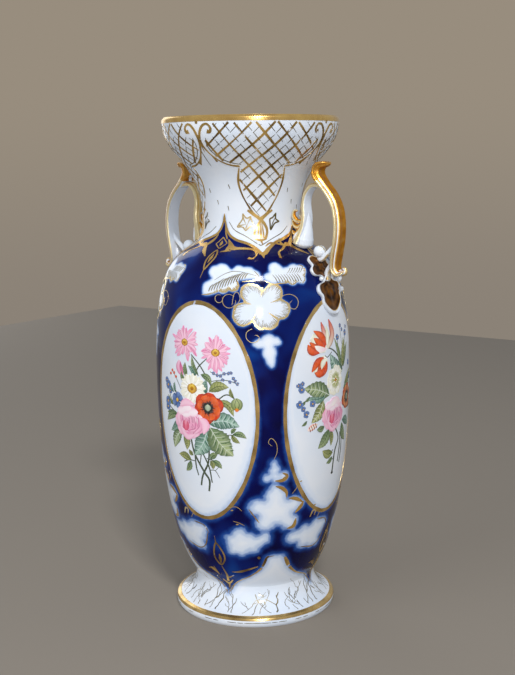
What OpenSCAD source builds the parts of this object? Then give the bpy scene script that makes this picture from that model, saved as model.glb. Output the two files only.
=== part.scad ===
// Tall two-handled flower vase in glazed porcelain. The foot, belly and neck are moulded
// separately and luted together, the handles and their leaves are applied, and the gilding
// is a thin fired layer. Z is up, the vase stands on z = 0, and the handles lie along X.
// Angles round the vase are counted from the front (-Y) towards +X.

/* [Body] */
// Height over the gilded lip
height = 350; // [346:1:354]
// Radius of the widest part of the belly
belly_r = 69.2; // [68:0.1:70]
// Height of the widest part of the belly
belly_z = 178; // [174:1:182]
// Radius of the narrow waist where the belly is luted to the foot
waist_r = 43; // [42:0.5:44]
// Height of that waist
waist_z = 24; // [23:0.5:25]
// Radius of the narrowest part of the neck
neck_r = 34.3; // [34:0.1:35]
// Height of the narrowest part, where the neck is luted to the belly
neck_z = 280; // [278:1:281]
// Radius over the gilded lip
mouth_r = 61.8; // [61:0.1:63]
// Thickness of the porcelain wall
wall = 4.5; // [4:0.1:5]
// Thickness of the belly's floor
floor_t = 5; // [4:0.5:6]

/* [Foot] */
// Radius of the foot's rounded toe
toe_r = 58.1; // [57:0.1:59]
// Height of the foot's rounded toe
toe_h = 6.5; // [6:0.5:7]

/* [Gilding] */
// Thickness of the fired gold
gild = 0.15; // [0.1:0.05:0.2]
// Height of the gold band over the lip
rim_band = 4; // [3:0.5:5]
// Width of the gold border of each medallion
border_w = 2.4; // [2:0.2:3]

/* [Medallions] */
// Middle of each medallion round the belly, painted by hand and so not quite even
medallion_centres = [1.5, 88.5, 181, 270];
// Height of the middle of each medallion
medallion_z = 153; // [150:1:156]
// Half of a medallion's height
medallion_half_h = 76; // [72:1:78]
// Half of a medallion's width, as an angle round the belly
medallion_half_a = 36.8; // [35:0.2:38]

/* [Handles] */
// Width of the handle strap on the face towards the hand
strap_inner_w = 11; // [10:0.5:12]
// Width of the handle strap on its gilded outer face
strap_outer_w = 6.5; // [6:0.5:7]
// Thickness of the handle strap
strap_t = 4; // [3.5:0.5:4.5]

/* [Leaves] */
// Half of the upper leaf's width
upper_leaf_half_w = 10.5; // [9:0.5:11]
// Half of the lower leaf's width
lower_leaf_half_w = 13; // [12:0.5:14]
// Thickness of a leaf at its edge
leaf_edge_t = 1.2; // [1:0.1:1.5]
// Thickness of a leaf at its middle
leaf_middle_t = 2.6; // [2.2:0.1:3]

/* [Hidden] */

porcelain = [0.92, 0.94, 0.97];
cobalt = [0.05, 0.12, 0.45];
gold = [0.80, 0.62, 0.25];
old_gold = [0.45, 0.31, 0.10];
steps = 18;
lip_r = wall / 2;
lip_z = height - gild - lip_r;
rim_r = mouth_r - gild;
strap_sides = 12;
leaf_points = 60;

// ---- curves ----

// Points of a cubic curve from p[0] to p[3]; the last point is left to the next curve
function bezier(p, n = steps) = [
    for (i = [0:n - 1]) let (t = i / n, s = 1 - t)
        s * s * s * p[0] + 3 * s * s * t * p[1] + 3 * s * t * t * p[2] + t * t * t * p[3]
];

// Points of a circular arc round c, from angle a0 to a1
function arc(c, r, a0, a1, n = steps) = [
    for (i = [0:n]) let (a = a0 + (a1 - a0) * i / n) c + r * [cos(a), sin(a)]
];

// A smooth curve through the points p
function spline_at(p, i, t) =
    let (last = len(p) - 1, a = p[max(i - 1, 0)], b = p[i], c = p[i + 1], d = p[min(i + 2, last)])
    0.5 * (2 * b + (c - a) * t + (2 * a - 5 * b + 4 * c - d) * t * t
        + (3 * b - a - 3 * c + d) * t * t * t);
function spline(p, n) = concat(
    [for (i = [0:len(p) - 2], k = [0:n - 1]) spline_at(p, i, k / n)],
    [p[len(p) - 1]]
);

// Unit direction of a list of points at point i
function along(p, i) =
    let (d = p[min(i + 1, len(p) - 1)] - p[max(i - 1, 0)]) d / norm(d);

// The same line moved d to its right
function moved(p, d) = [for (i = [0:len(p) - 1]) let (t = along(p, i)) p[i] + d * [t[1], -t[0]]];
function reversed(p) = [for (i = [len(p) - 1:-1:0]) p[i]];

// ---- outlines of the vase, as [radius, height], from the foot upwards ----

toe = bezier([[toe_r - 1.4, 0], [toe_r + 0.3, 1.5], [toe_r + 0.3, toe_h - 1.5], [toe_r - 1, toe_h]]);
flare = bezier([[toe_r - 1, toe_h], [toe_r - 7, toe_h + 2], [waist_r, waist_z - 10],
    [waist_r, waist_z]]);
lower_belly = bezier([[waist_r, waist_z], [waist_r, waist_z + 5], [belly_r, waist_z + 24],
    [belly_r, belly_z]], 2 * steps);
shoulder = bezier([[belly_r, belly_z], [belly_r, neck_z + 4], [neck_r, neck_z - 35],
    [neck_r, neck_z]], 2 * steps);
cup = bezier([[neck_r, neck_z], [neck_r, neck_z + 41], [rim_r, lip_z - 25],
    [rim_r, lip_z]], 2 * steps);

lip = arc([rim_r - lip_r, lip_z], lip_r, 0, 180);
belly_line = concat(lower_belly, shoulder, [[neck_r, neck_z]]);
outer_line = concat(lower_belly, shoulder, cup, [[rim_r, lip_z]]);

// Radius of the outside at a height, and a point on it lifted off along its normal
radius_table = [for (p = outer_line) [p[1], p[0]]];
function body_r(z) = lookup(z, radius_table);
function on_body(a, z, lift) =
    let (slope = body_r(z + 0.5) - body_r(z - 0.5), n = [1, -slope] / norm([1, slope]),
        r = body_r(z) + lift * n[0])
    [r * sin(a), -r * cos(a), z + lift * n[1]];

// ---- solids from rings of points ----

// A closed skin over rings of points, drawn to a point at each end
module skin(rings, start, end) {
    n = len(rings[0]);
    last = len(rings) - 1;
    top = 1 + (last + 1) * n;
    points = concat([start], [for (ring = rings) each ring], [end]);
    first_fan = [for (j = [0:n - 1]) [0, 1 + j, 1 + (j + 1) % n]];
    sides = [for (i = [0:last - 1], j = [0:n - 1])
        let (a = 1 + i * n + j, b = 1 + i * n + (j + 1) % n) each [[a, a + n, b], [b, a + n, b + n]]];
    last_fan = [for (j = [0:n - 1]) [top, 1 + last * n + (j + 1) % n, 1 + last * n + j]];
    polyhedron(points, concat(first_fan, sides, last_fan));
}

// A skin over rings that close on themselves
module hoop(rings) {
    n = len(rings[0]);
    m = len(rings);
    points = [for (ring = rings) each ring];
    faces = [for (i = [0:m - 1], j = [0:n - 1])
        let (a = i * n + j, b = i * n + (j + 1) % n, c = ((i + 1) % m) * n)
        each [[a, c + j, b], [b, c + j, c + (j + 1) % n]]];
    polyhedron(points, faces);
}

// A strap along a line in the plane of the handles. Its size follows a table of
// [part of the way, share of the full size], and its outer face is to the right of the line
function soft_corner(c) = sign(c) * pow(abs(c), 0.55);
function strap_ring(p, t, size, side) = [
    for (j = [0:strap_sides - 1])
        let (a = 360 * (j + 0.5) / strap_sides * side, out = soft_corner(sin(a)) / 2,
            w = strap_inner_w + (strap_outer_w - strap_inner_w) * (out + 0.5),
            n = size * strap_t * out)
        [p[0] + n * t[1] * side, size * w / 2 * soft_corner(cos(a)), p[1] - n * t[0] * side]
];
module strap(line, sizes, side) {
    last = len(line) - 1;
    rings = [for (i = [0:last]) strap_ring(line[i], along(line, i), lookup(i / last, sizes), side)];
    ends = [line[0] - along(line, 0) * 0.6, line[last] + along(line, last) * 0.6];
    skin(rings, [ends[0][0], 0, ends[0][1]], [ends[1][0], 0, ends[1][1]]);
}

// A lobed leaf lying on the shoulder over the +X side. shape(t) is its outline
module leaf(z, half_w, half_h, lobes, notch, tip) {
    function reach(t) = (1 - notch * (1 - abs(cos(lobes * (t + 90) / 2))))
        * (1 + tip * pow(max(0, -sin(t)), 8));
    function place(f, t, lift) =
        let (h = z + f * half_h * reach(t) * sin(t), u = f * half_w * reach(t) * cos(t))
        on_body(90 + u / body_r(h) * 180 / PI, h, lift);
    function row(f, lift) = [for (j = [0:leaf_points - 1]) place(f, 360 * j / leaf_points, lift)];
    crown = leaf_middle_t - leaf_edge_t;
    over = [for (f = [0.25, 0.5, 0.75, 0.95, 1])
        row(f, leaf_edge_t * (f < 1 ? 1 : 0.6) + crown * (1 - f * f))];
    under = [for (f = [1, 0.7, 0.35]) row(f, 0)];
    skin(concat(over, under), on_body(90, z, leaf_middle_t), on_body(90, z, 0));
}

module gold_band(line, thickness) {
    rotate_extrude() polygon(concat(line, reversed(moved(line, thickness))));
}

// ---- body ----

module foot() {
    inner = [for (p = moved(flare, -wall)) if (p[1] > toe_h - 1) p];
    color(porcelain) rotate_extrude()
        polygon(concat(toe, flare, [[waist_r, waist_z], [waist_r - wall, waist_z]], reversed(inner),
            [[toe_r - 2 * wall, toe_h - 2], [toe_r - 1.6 * wall, 0]]));
}

module belly() {
    inner = [for (p = moved(belly_line, -wall)) if (p[1] > waist_z + floor_t && p[1] < neck_z) p];
    color(cobalt) rotate_extrude()
        polygon(concat([[0, waist_z]], belly_line, [[neck_r - wall, neck_z]], reversed(inner),
            [[0, waist_z + floor_t]]));
}

module neck() {
    inner = [for (p = moved(cup, -wall)) if (p[1] > neck_z) p];
    color(porcelain) rotate_extrude()
        polygon(concat(cup, lip, reversed(inner), [[neck_r - wall, neck_z]]));
}

module rim_gilding() {
    low = height - rim_band;
    outside = [for (p = cup) if (p[1] > low + 0.3) p];
    color(gold) gold_band(concat([[body_r(low), low]], outside, lip), gild);
}

module foot_gilding() {
    band = [for (p = toe) if (p[1] > toe_h - 2.2) p];
    color(gold) gold_band(band, gild);
}

module medallion_gilding() {
    function edge(c, t, inset, lift) =
        on_body(c + (medallion_half_a - inset / belly_r * 180 / PI) * cos(t),
            medallion_z + (medallion_half_h - inset) * sin(t), lift);
    color(gold) for (c = medallion_centres)
        hoop([for (i = [0:71]) let (t = 5 * i) [
            edge(c, t, 0, -gild), edge(c, t, 0, gild),
            edge(c, t, border_w, gild), edge(c, t, border_w, -gild)
        ]]);
}

// ---- handle on the +X side; the other one is turned half round ----

module handle_scroll() {
    line = spline([[64.5, 318], [57.5, 316.5], [56, 311], [60, 305], [66, 298], [70.5, 290],
        [72.5, 280], [72.3, 268], [70, 255], [69.5, 248], [72, 244.5], [76, 246]], 4);
    color(gold) strap(line, [[0, 0.25], [0.1, 0.7], [0.25, 1], [0.8, 1], [0.95, 0.7], [1, 0.3]], 1);
}

module handle_loop() {
    line = spline([[65, 299.5], [59, 303], [52, 303.4], [47, 298], [45.3, 291], [45.8, 283],
        [45, 276], [43, 270], [41, 264]], 4);
    color(porcelain) strap(line, [[0, 0.5], [0.15, 0.75], [0.5, 0.85], [0.8, 0.95], [1, 1.5]], -1);
}

// The branch that curls in under the hand, and the stem that joins it to the leaves
module handle_curl() {
    branch = spline([[71, 268], [68.5, 263.5], [65, 260], [61.5, 256.5], [58, 253.6],
        [54.5, 254]], 4);
    stem = spline([[70.5, 262], [68.5, 256], [65.5, 250], [62.5, 244.5], [62, 239]], 4);
    color(porcelain) {
        strap(branch, [[0, 0.5], [0.3, 0.7], [0.8, 0.7], [1, 0.35]], -1);
        strap(stem, [[0, 0.4], [0.4, 0.6], [1, 0.5]], -1);
    }
}

module handle_terminal() {
    line = spline([[45.5, 281], [43, 276.5], [39.5, 274.5], [36, 276], [33.6, 279]], 4);
    color(gold) strap(line, [[0, 0.5], [0.4, 0.95], [0.8, 0.75], [1, 0.35]], -1);
}

module upper_leaf() {
    color(old_gold) leaf(248, upper_leaf_half_w, 7.5, 5, 0.3, 0);
}

module lower_leaf() {
    color(old_gold) leaf(231, lower_leaf_half_w, 11, 5, 0.32, 0.3);
}

module berry() {
    color(porcelain) translate([55.5, 0, 258.2]) sphere(3.8);
}

module buds() {
    bud_r = [2.5, 1.6];
    bud_z = [237, 231];
    color(porcelain) for (i = [0, 1])
        translate(on_body(97, bud_z[i], bud_r[i] + leaf_middle_t - 1)) sphere(bud_r[i]);
    color(porcelain) for (a = [0:120:240])
        translate([54.3 + 0.9 * cos(a), 0, 308 + 0.9 * sin(a)]) sphere(1.1);
}

module other_side() {
    rotate([0, 0, 180]) children();
}

foot();
belly();
neck();
rim_gilding();
foot_gilding();
medallion_gilding();
handle_scroll();  // right_handle_scroll
handle_loop();  // right_handle_loop
handle_curl();  // right_handle_curl
handle_terminal();  // right_handle_terminal
upper_leaf();  // right_upper_leaf
lower_leaf();  // right_lower_leaf
berry();  // right_berry
buds();  // right_buds
other_side() handle_scroll();  // left_handle_scroll
other_side() handle_loop();  // left_handle_loop
other_side() handle_curl();  // left_handle_curl
other_side() handle_terminal();  // left_handle_terminal
other_side() upper_leaf();  // left_upper_leaf
other_side() lower_leaf();  // left_lower_leaf
other_side() berry();  // left_berry
other_side() buds();  // left_buds
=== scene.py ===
import math
import random

import bmesh
import bpy
import numpy as np
from mathutils import Matrix, Vector


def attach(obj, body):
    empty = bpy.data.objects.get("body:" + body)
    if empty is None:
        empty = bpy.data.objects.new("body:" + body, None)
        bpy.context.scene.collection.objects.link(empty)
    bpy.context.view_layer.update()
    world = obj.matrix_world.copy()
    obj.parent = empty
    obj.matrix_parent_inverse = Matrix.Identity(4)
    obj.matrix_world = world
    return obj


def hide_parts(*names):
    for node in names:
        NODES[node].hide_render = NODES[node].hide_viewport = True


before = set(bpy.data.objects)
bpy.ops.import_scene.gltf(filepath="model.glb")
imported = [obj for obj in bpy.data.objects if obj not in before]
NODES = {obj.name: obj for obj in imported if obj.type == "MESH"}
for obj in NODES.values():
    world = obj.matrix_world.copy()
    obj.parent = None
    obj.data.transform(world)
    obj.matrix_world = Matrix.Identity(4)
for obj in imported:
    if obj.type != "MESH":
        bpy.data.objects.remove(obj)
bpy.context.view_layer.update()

MM = 0.001
SUNK = 0.2  # how far the painting and gold reach into the glaze, in mm
VIEW_BEARING = 35.0  # degrees from the front towards the right handle
VIEW_DISTANCE = 0.787  # from the vase's axis, in metres
VIEW_HEIGHT = 0.3222  # above the floor, in metres
FOCAL_LENGTH = 59.27  # on a 36 mm film, in mm
LAMP_TARGET = (0, 0, 0.17)  # about half-way up the vase, in metres
FLOOR_HALF = 1.2  # half the side of the floor, in metres
random.seed(7)
rng = np.random.default_rng(7)


# ---------------------------------------------------------------- camera and light

def aimed(name, data, place, target, roll=0.0):
    """Puts a camera or lamp at place, looking at target."""
    thing = bpy.data.objects.new(name, data)
    bpy.context.scene.collection.objects.link(thing)
    look = (Vector(target) - Vector(place)).to_track_quat("-Z", "Y").to_matrix().to_4x4()
    thing.matrix_world = Matrix.Translation(place) @ look @ Matrix.Rotation(roll, 4, "Z")
    return thing


def round_about(azimuth, distance, height):
    """A point at that bearing from the vase, counted from the front towards +X."""
    a = math.radians(azimuth)
    return Vector((distance * math.sin(a), -distance * math.cos(a), height))


def camera():
    """A long lens a little above the rim, looking slightly down past the right handle."""
    data = bpy.data.cameras.new("camera")
    data.lens, data.sensor_width = FOCAL_LENGTH, 36.0
    place = round_about(VIEW_BEARING, VIEW_DISTANCE, VIEW_HEIGHT)
    down, aside = math.radians(9.19), math.radians(0.25)
    ahead = math.radians(VIEW_BEARING + 180.0) - aside
    aim = place + Vector((math.sin(ahead) * math.cos(down), -math.cos(ahead) * math.cos(down),
                          -math.sin(down)))
    bpy.context.scene.camera = aimed("camera", data, place, aim, math.radians(-0.6))


def softbox(name, azimuth, distance, height, size, power, colour=(1.0, 1.0, 1.0)):
    """A rectangular soft lamp aimed at the middle of the vase."""
    data = bpy.data.lights.new(name, "AREA")
    data.shape, data.size, data.size_y = "RECTANGLE", size[0], size[1]
    data.energy, data.color = power, colour
    return aimed(name, data, round_about(azimuth, distance, height), LAMP_TARGET)


camera()


# ---------------------------------------------------------------- colour and materials

def tint(code, alpha=1.0):
    """A linear colour from an sRGB hex code."""
    parts = [int(code[i:i + 2], 16) / 255 for i in (1, 3, 5)]
    return tuple([c / 12.92 if c <= 0.04045 else ((c + 0.055) / 1.055) ** 2.4 for c in parts]
                 + [alpha])


def mixed(a, b, share):
    """A colour between two others."""
    return tuple(p + (q - p) * share for p, q in zip(a, b))


def add(tree, kind, links=(), **settings):
    """A node with its settings. links sets sockets, by name or number, to a value or an output."""
    made = tree.nodes.new(kind)
    for key, value in settings.items():
        setattr(made, key, value)
    for key, value in dict(links).items():
        if isinstance(value, bpy.types.NodeSocket):
            tree.links.new(value, made.inputs[key])
        else:
            made.inputs[key].default_value = value
    return made


def ramp(tree, factor, stops, interpolation="LINEAR"):
    """Colours along a factor, as (place, colour) stops."""
    made = add(tree, "ShaderNodeValToRGB", {"Fac": factor})
    band = made.color_ramp
    band.interpolation = interpolation
    while len(band.elements) < len(stops):
        band.elements.new(1.0)
    for element, (place, colour) in zip(band.elements, stops):
        element.position, element.color = place, colour
    return made.outputs["Color"]


def finish(name, **values):
    """A new material with its Principled shader's own sockets set."""
    made = bpy.data.materials.new(name)
    made.use_nodes = True
    shader = made.node_tree.nodes["Principled BSDF"]
    for key, value in values.items():
        shader.inputs[key.replace("_", " ").title().replace("Ior", "IOR")].default_value = value
    return made, made.node_tree, shader

# ---------------------------------------------------------------- outline of the body

def side_of(name, facing):
    """Heights and radii, in mm, of a turned piece's outer (+1) or inner (-1) side."""
    mesh = NODES[name].data
    widest = {}
    for face in mesh.polygons:
        middle = face.center
        reach = math.hypot(middle.x, middle.y)
        if reach > 0 and (face.normal.x * middle.x + face.normal.y * middle.y) * facing > 0.03 * reach:
            for index in face.vertices:
                place = mesh.vertices[index].co
                height = round(place.z / MM, 3)
                widest[height] = max(widest.get(height, 0.0), math.hypot(place.x, place.y) / MM)
    return np.array(sorted(widest.items()))


def smoothed(points, count, closed=False):
    """A Catmull-Rom curve through points, with count steps to each gap."""
    points = np.asarray(points, float)
    if closed:
        padded = np.vstack([points[-1:], points, points[:2]])
    else:
        padded = np.vstack([2 * points[:1] - points[1:2], points, 2 * points[-1:] - points[-2:-1]])
    steps = np.linspace(0, 1, count, endpoint=False)[:, None]
    parts = []
    for a, b, c, d in zip(padded, padded[1:], padded[2:], padded[3:]):
        parts.append(0.5 * (2 * b + (c - a) * steps + (2 * a - 5 * b + 4 * c - d) * steps ** 2
                            + (3 * b - a - 3 * c + d) * steps ** 3))
    line = np.vstack(parts)
    return line if closed else np.vstack([line, points[-1:]])


OUTER = np.vstack([side_of("foot", 1), side_of("belly", 1)[1:], side_of("neck", 1)[1:]])
OUTLINE = smoothed(OUTER, 6)
CLIMB = np.concatenate([[0.0], np.cumsum(np.hypot(*np.diff(OUTLINE, axis=0).T))])
SLOPE = np.gradient(OUTLINE, CLIMB, axis=0)
FOOT_TOP = round(OUTER[OUTER[:, 0] <= 24.01][-1, 0], 2)
NECK_BASE = round(side_of("neck", 1)[0, 0], 2)
TOP = OUTLINE[-1, 0]


def climb_at(height):
    """How far up the surface a height lies, in mm."""
    return np.interp(height, OUTLINE[:, 0], CLIMB)


def radius_at(height):
    """Radius of the body at a height, in mm."""
    return np.interp(height, OUTLINE[:, 0], OUTLINE[:, 1])


def on_body(points, azimuth, height):
    """Lays points (right, up, out), in mm, on the body round a centre. The result is in metres."""
    points = np.asarray(points, float)
    climb = climb_at(height) + points[:, 1]
    level, radius = np.interp(climb, CLIMB, OUTLINE[:, 0]), np.interp(climb, CLIMB, OUTLINE[:, 1])
    out_r, out_z = np.interp(climb, CLIMB, SLOPE[:, 0]), -np.interp(climb, CLIMB, SLOPE[:, 1])
    turn = math.radians(azimuth) + points[:, 0] / radius
    reach = radius + points[:, 2] * out_r
    return np.stack([reach * np.sin(turn), -reach * np.cos(turn), level + points[:, 2] * out_z],
                    axis=1) * MM


def flat(points, azimuth, height):
    """Turns (azimuth, height) points into (right, up) in mm from a centre on the body."""
    points = np.asarray(points, float)
    return np.stack([np.radians(points[:, 0] - azimuth) * radius_at(points[:, 1]),
                     climb_at(points[:, 1]) - climb_at(height)], axis=1)


# ---------------------------------------------------------------- making meshes

def built(name, bm, slot, materials, node=(), smooth=True):
    """Turns a bmesh, in metres, into a finished piece."""
    mesh = bpy.data.meshes.new(name)
    bm.to_mesh(mesh)
    bm.free()
    return placed(name, mesh, slot, materials, node, smooth)


def placed(name, mesh, slot, materials, node=(), smooth=True):
    """Makes an object of a mesh, hangs it on the root body and hides the parts that it replaces."""
    if smooth:
        mesh.shade_smooth()
        mesh.set_sharp_from_angle(angle=math.radians(40))
    piece = bpy.data.objects.new(name, mesh)
    bpy.context.scene.collection.objects.link(piece)
    for material in materials:
        mesh.materials.append(material)
    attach(piece, "root")
    if node:
        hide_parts(*node)
    return piece


def turned(name, line, steps, slot, material, node):
    """Spins a closed (radius, height) line, in mm, round the vase's axis."""
    bm = bmesh.new()
    corners = [bm.verts.new((0, -r * MM, z * MM)) for r, z in line]
    edges = [bm.edges.new(pair) for pair in zip(corners, corners[1:])]
    if line[0][0] > 0:
        edges.append(bm.edges.new((corners[-1], corners[0])))
    bmesh.ops.spin(bm, geom=corners + edges, cent=(0, 0, 0), axis=(0, 0, 1), dvec=(0, 0, 0),
                   angle=math.tau, steps=steps, use_merge=True)
    bmesh.ops.remove_doubles(bm, verts=bm.verts[:], dist=1e-7)
    bmesh.ops.recalc_face_normals(bm, faces=bm.faces[:])
    return built(name, bm, slot, [material], node)


def rows(low, high, gap):
    """The body's outer side between two heights, as (radius, height) about gap mm apart."""
    ends = climb_at(low), climb_at(high)
    climbs = np.linspace(*ends, max(2, round((ends[1] - ends[0]) / gap)))
    return [(float(np.interp(c, CLIMB, OUTLINE[:, 1])), float(np.interp(c, CLIMB, OUTLINE[:, 0])))
            for c in climbs]


def inside_rows(name, gap):
    """The inner side of a turned piece from its top down."""
    side = smoothed(side_of(name, -1), 4)[::-1]
    keep = [side[0]]
    for point in side[1:]:
        if np.hypot(*(point - keep[-1])) > gap:
            keep.append(point)
    if np.hypot(*(side[-1] - keep[-1])) < 0.5 * gap:
        keep.pop()
    keep.append(side[-1])
    return [(float(r), float(z)) for z, r in keep]


# ---------------------------------------------------------------- the cobalt ground

# Everything below is painted once for each quarter of the vase, and a little off square.
QUARTERS = (0, 90, 180, 270)
MEDALLIONS = (1.5, 88.5, 181, 270)
MEDALLION_MID, MEDALLION_HALF, MEDALLION_SPREAD = 153.0, 76.0, 36.8

# Edge between the white neck and the cobalt shoulder, over a quarter, as (azimuth, height).
OGEE = ((3, 283.5), (5.5, 276), (10, 271), (19, 267.5), (30, 265.4), (38, 262.6), (44, 258.8),
        (51, 262.2), (60, 265.6), (72, 268), (84, 271.5), (90, 277), (93, 283.5))
# Edge between the cobalt and the white foot, over a quarter.
HEM = ((9, 18.5), (12, 22), (19, 28.5), (31, 34.5), (39, 40.5), (42, 46), (44, 50.5), (50, 51.5),
       (56, 50.5), (59, 46), (63, 40), (72, 33.5), (88, 27.5), (96, 22), (99, 18.5))

# Shapes left white in the cobalt. Each has the azimuth and height of its centre, a point inside it
# and its round lobes as (right, up, radius) in mm from that centre.
FLOWER_LOBES = (39, 226), (1, 0), ((1, 0, 11), (9.5, 8.5, 6.5), (14.5, -2.5, 6.5), (6.5, -9, 6.5),
                                   (1.5, -10, 5.5), (-11, -6, 7), (-12, -3, 5.5), (-6, 9, 6.5),
                                   (-3.5, 9.5, 5.5))
LEFT_LEAF_LOBES = (41, 244), (-21, 0), ((-22, 0, 7), (-36.5, -7, 5), (-40, -10.5, 2), (-31, 4, 5),
                                        (-25.5, 6, 5), (-14.5, 5, 4.5), (-8.5, 4, 4.5), (-4, 2, 3.5),
                                        (-19, -5.5, 4), (-26, -6, 4.5), (-33, -7, 4))
RIGHT_LEAF_LOBES = (41, 244), (18, 1.5), ((18, 1.5, 6), (4, 0.5, 3), (9.5, 7, 4.5), (22.5, 4.5, 5),
                                          (28, 3.5, 5), (28.5, -2, 3.5), (21.5, -2.5, 3.5),
                                          (14, 0, 4), (7.5, -1, 3.5))
DROP_LOBES = (45, 200), (-1, 0), ((-1.5, 3, 5), (-7.5, 1.5, 3.5), (-10.5, 1.5, 2), (3.5, 3, 3),
                                  (5.5, 2, 2), (-1, -4.5, 5), (-0.5, -9.5, 3.5), (0.5, -13, 2))
TULIP_LOBES = (49, 85), (-1, 27), ((-2.5, 30, 4), (-3, 34.5, 2.5), (-1.5, 25.5, 4), (-7.5, 25, 3),
                                   (4, 25.5, 3.5))
STAR_LOBES = (49, 85), (0, 0), ((0, 0, 11), (-1, 11, 8), (-1.5, 16, 4.5), (12, 4, 6), (17, 4, 3.5),
                                (9, -8.5, 6.5), (10.5, -11, 4.5), (-7.5, -8, 7), (-13, 3.5, 6.5),
                                (-16, 3, 4))
LOW_RIGHT_LOBES = (49, 85), (28, -22), ((28, -22, 8), (12.5, -22, 5), (10, -19.5, 2.5), (19, -22, 6),
                                        (22, -18.5, 5), (33, -16, 5), (39, -17, 5.5), (43, -16, 2.5),
                                        (36, -21.5, 5.5), (30, -28, 6), (34.5, -30, 4), (22, -27, 6))
LOW_LEFT_LOBES = (49, 85), (-20, -24), ((-20, -24, 8), (-8.5, -20.5, 4.5), (-7, -17.5, 2.5),
                                        (-13, -23, 5.5), (-25, -18.5, 6), (-24, -14.5, 2.5),
                                        (-29.5, -23, 5.5), (-33, -20.5, 2.5), (-28.5, -29, 5),
                                        (-22.5, -30, 5), (-15.5, -26.5, 5.5), (-18.5, -20, 4.5))


def lobed(place, heart, lobes):
    """A white shape's place and its outline, drawn round the outsides of its lobes."""
    turn = np.linspace(0, math.tau, 96, endpoint=False)
    ray = np.column_stack([np.cos(turn), np.sin(turn)])
    reach = np.zeros(len(turn))
    for right, up, radius in lobes:
        east, north = right - heart[0], up - heart[1]
        along = ray @ (east, north)
        across = ray @ (north, -east)
        chord = np.sqrt(np.maximum(radius ** 2 - across ** 2, 0))
        reach = np.maximum(reach, np.where(chord > 0, along + chord, 0))
    reach = (np.roll(reach, 1) + 2 * reach + np.roll(reach, -1)) / 4
    return place, ray * reach[:, None] + heart


FLOWER, LEFT_LEAF, RIGHT_LEAF, DROP, TULIP, STAR, LOW_RIGHT, LOW_LEFT = (
    lobed(*shape) for shape in (FLOWER_LOBES, LEFT_LEAF_LOBES, RIGHT_LEAF_LOBES, DROP_LOBES,
                                TULIP_LOBES, STAR_LOBES, LOW_RIGHT_LOBES, LOW_LEFT_LOBES))
RESERVES = (FLOWER, LEFT_LEAF, RIGHT_LEAF, DROP, TULIP, STAR, LOW_RIGHT, LOW_LEFT)


def ogee_quarter():
    """The shoulder's edge over a whole quarter, from one upward point to the next."""
    return smoothed(OGEE, 5)


def distance_to(points, line):
    """Distance from each point to a polyline, both in mm."""
    best = np.full(len(points), 1e9)
    for a, b in zip(line, line[1:]):
        along = b - a
        share = np.clip(((points - a) @ along) / max(along @ along, 1e-9), 0, 1)
        best = np.minimum(best, np.hypot(*(points - a - share[:, None] * along).T))
    return best


def outside_of(points, ring):
    """Signed distance to a closed ring, positive outside it."""
    closed = np.vstack([ring, ring[:1]])
    distance = distance_to(points, closed)
    inside = np.zeros(len(points), bool)
    for (ax, ay), (bx, by) in zip(closed, closed[1:]):
        if ay != by:
            crosses = (ay > points[:, 1]) != (by > points[:, 1])
            inside ^= crosses & (points[:, 0] < (bx - ax) * (points[:, 1] - ay) / (by - ay) + ax)
    return np.where(inside, -distance, distance)


def around(azimuth, centre):
    """Azimuth counted from a centre, between -180 and 180."""
    return (azimuth - centre + 180) % 360 - 180


def medallion_ring(inset, count=72):
    """The oval of a medallion, in mm from its middle."""
    turn = np.linspace(0, math.tau, count, endpoint=False)
    spread = MEDALLION_SPREAD - math.degrees(inset / radius_at(MEDALLION_MID))
    return flat(np.column_stack([spread * np.cos(turn),
                                 MEDALLION_MID + (MEDALLION_HALF - inset) * np.sin(turn)]),
                0, MEDALLION_MID)


def cobalt_depth(azimuth, height):
    """How far inside the cobalt each point of the surface is, in mm, and negative on white."""
    radius, climb = radius_at(height), climb_at(height)
    depth = np.full(len(azimuth), 12.0)

    def limit(centre, middle, measure, reach):
        """Lowers the depth near a centre to what measure finds there."""
        bend = around(azimuth, centre)
        spot = np.column_stack([np.radians(bend) * radius, climb - climb_at(middle)])
        near = (np.abs(spot[:, 0]) < reach[0]) & (np.abs(spot[:, 1]) < reach[1])
        depth[near] = np.minimum(depth[near], measure(spot[near], bend[near], height[near]))

    for centre in MEDALLIONS:
        ring = medallion_ring(1.0)
        limit(centre, MEDALLION_MID, lambda p, a, h: outside_of(p, ring), (62, 95))
    for quarter in QUARTERS:
        edge = ogee_quarter()
        line = flat(edge, 45, 268)
        limit(quarter + 45, 268, lambda p, a, h: np.where(
            h < np.interp(a + 45, edge[:, 0], edge[:, 1]), 1, -1) * distance_to(p, line), (50, 999))
        hem = smoothed(HEM, 4)
        low = flat(hem, 54, 30)
        limit(quarter + 54, 30, lambda p, a, h: np.where(
            h > np.interp(a + 54, hem[:, 0], hem[:, 1]), 1, -1) * distance_to(p, low), (48, 999))
        for (side, middle), ring in RESERVES:
            limit(quarter + side, middle, lambda p, a, h: outside_of(p, ring), (54, 50))
    return depth


def with_ground(piece):
    """Stores the cobalt's depth on a piece's outer side, for its material."""
    mesh = piece.data
    place = np.empty(len(mesh.vertices) * 3)
    mesh.vertices.foreach_get("co", place)
    x, y, z = place.reshape(-1, 3).T / MM
    azimuth = np.degrees(np.arctan2(x, -y))
    depth = cobalt_depth(azimuth, z)
    # The painter blurred the lower edges more than the upper ones.
    depth *= np.interp(z, (0, 60, 130, 200, 240), (0.8, 0.5, 0.6, 1.3, 1.6))
    depth[np.hypot(x, y) < radius_at(z) - 1.5] = -12
    mesh.attributes.new("ground", "FLOAT", "POINT").data.foreach_set("value", depth)
    return piece


# ---------------------------------------------------------------- materials

def coordinates(tree):
    """Object coordinates, in metres."""
    return add(tree, "ShaderNodeTexCoord").outputs["Object"]


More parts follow.
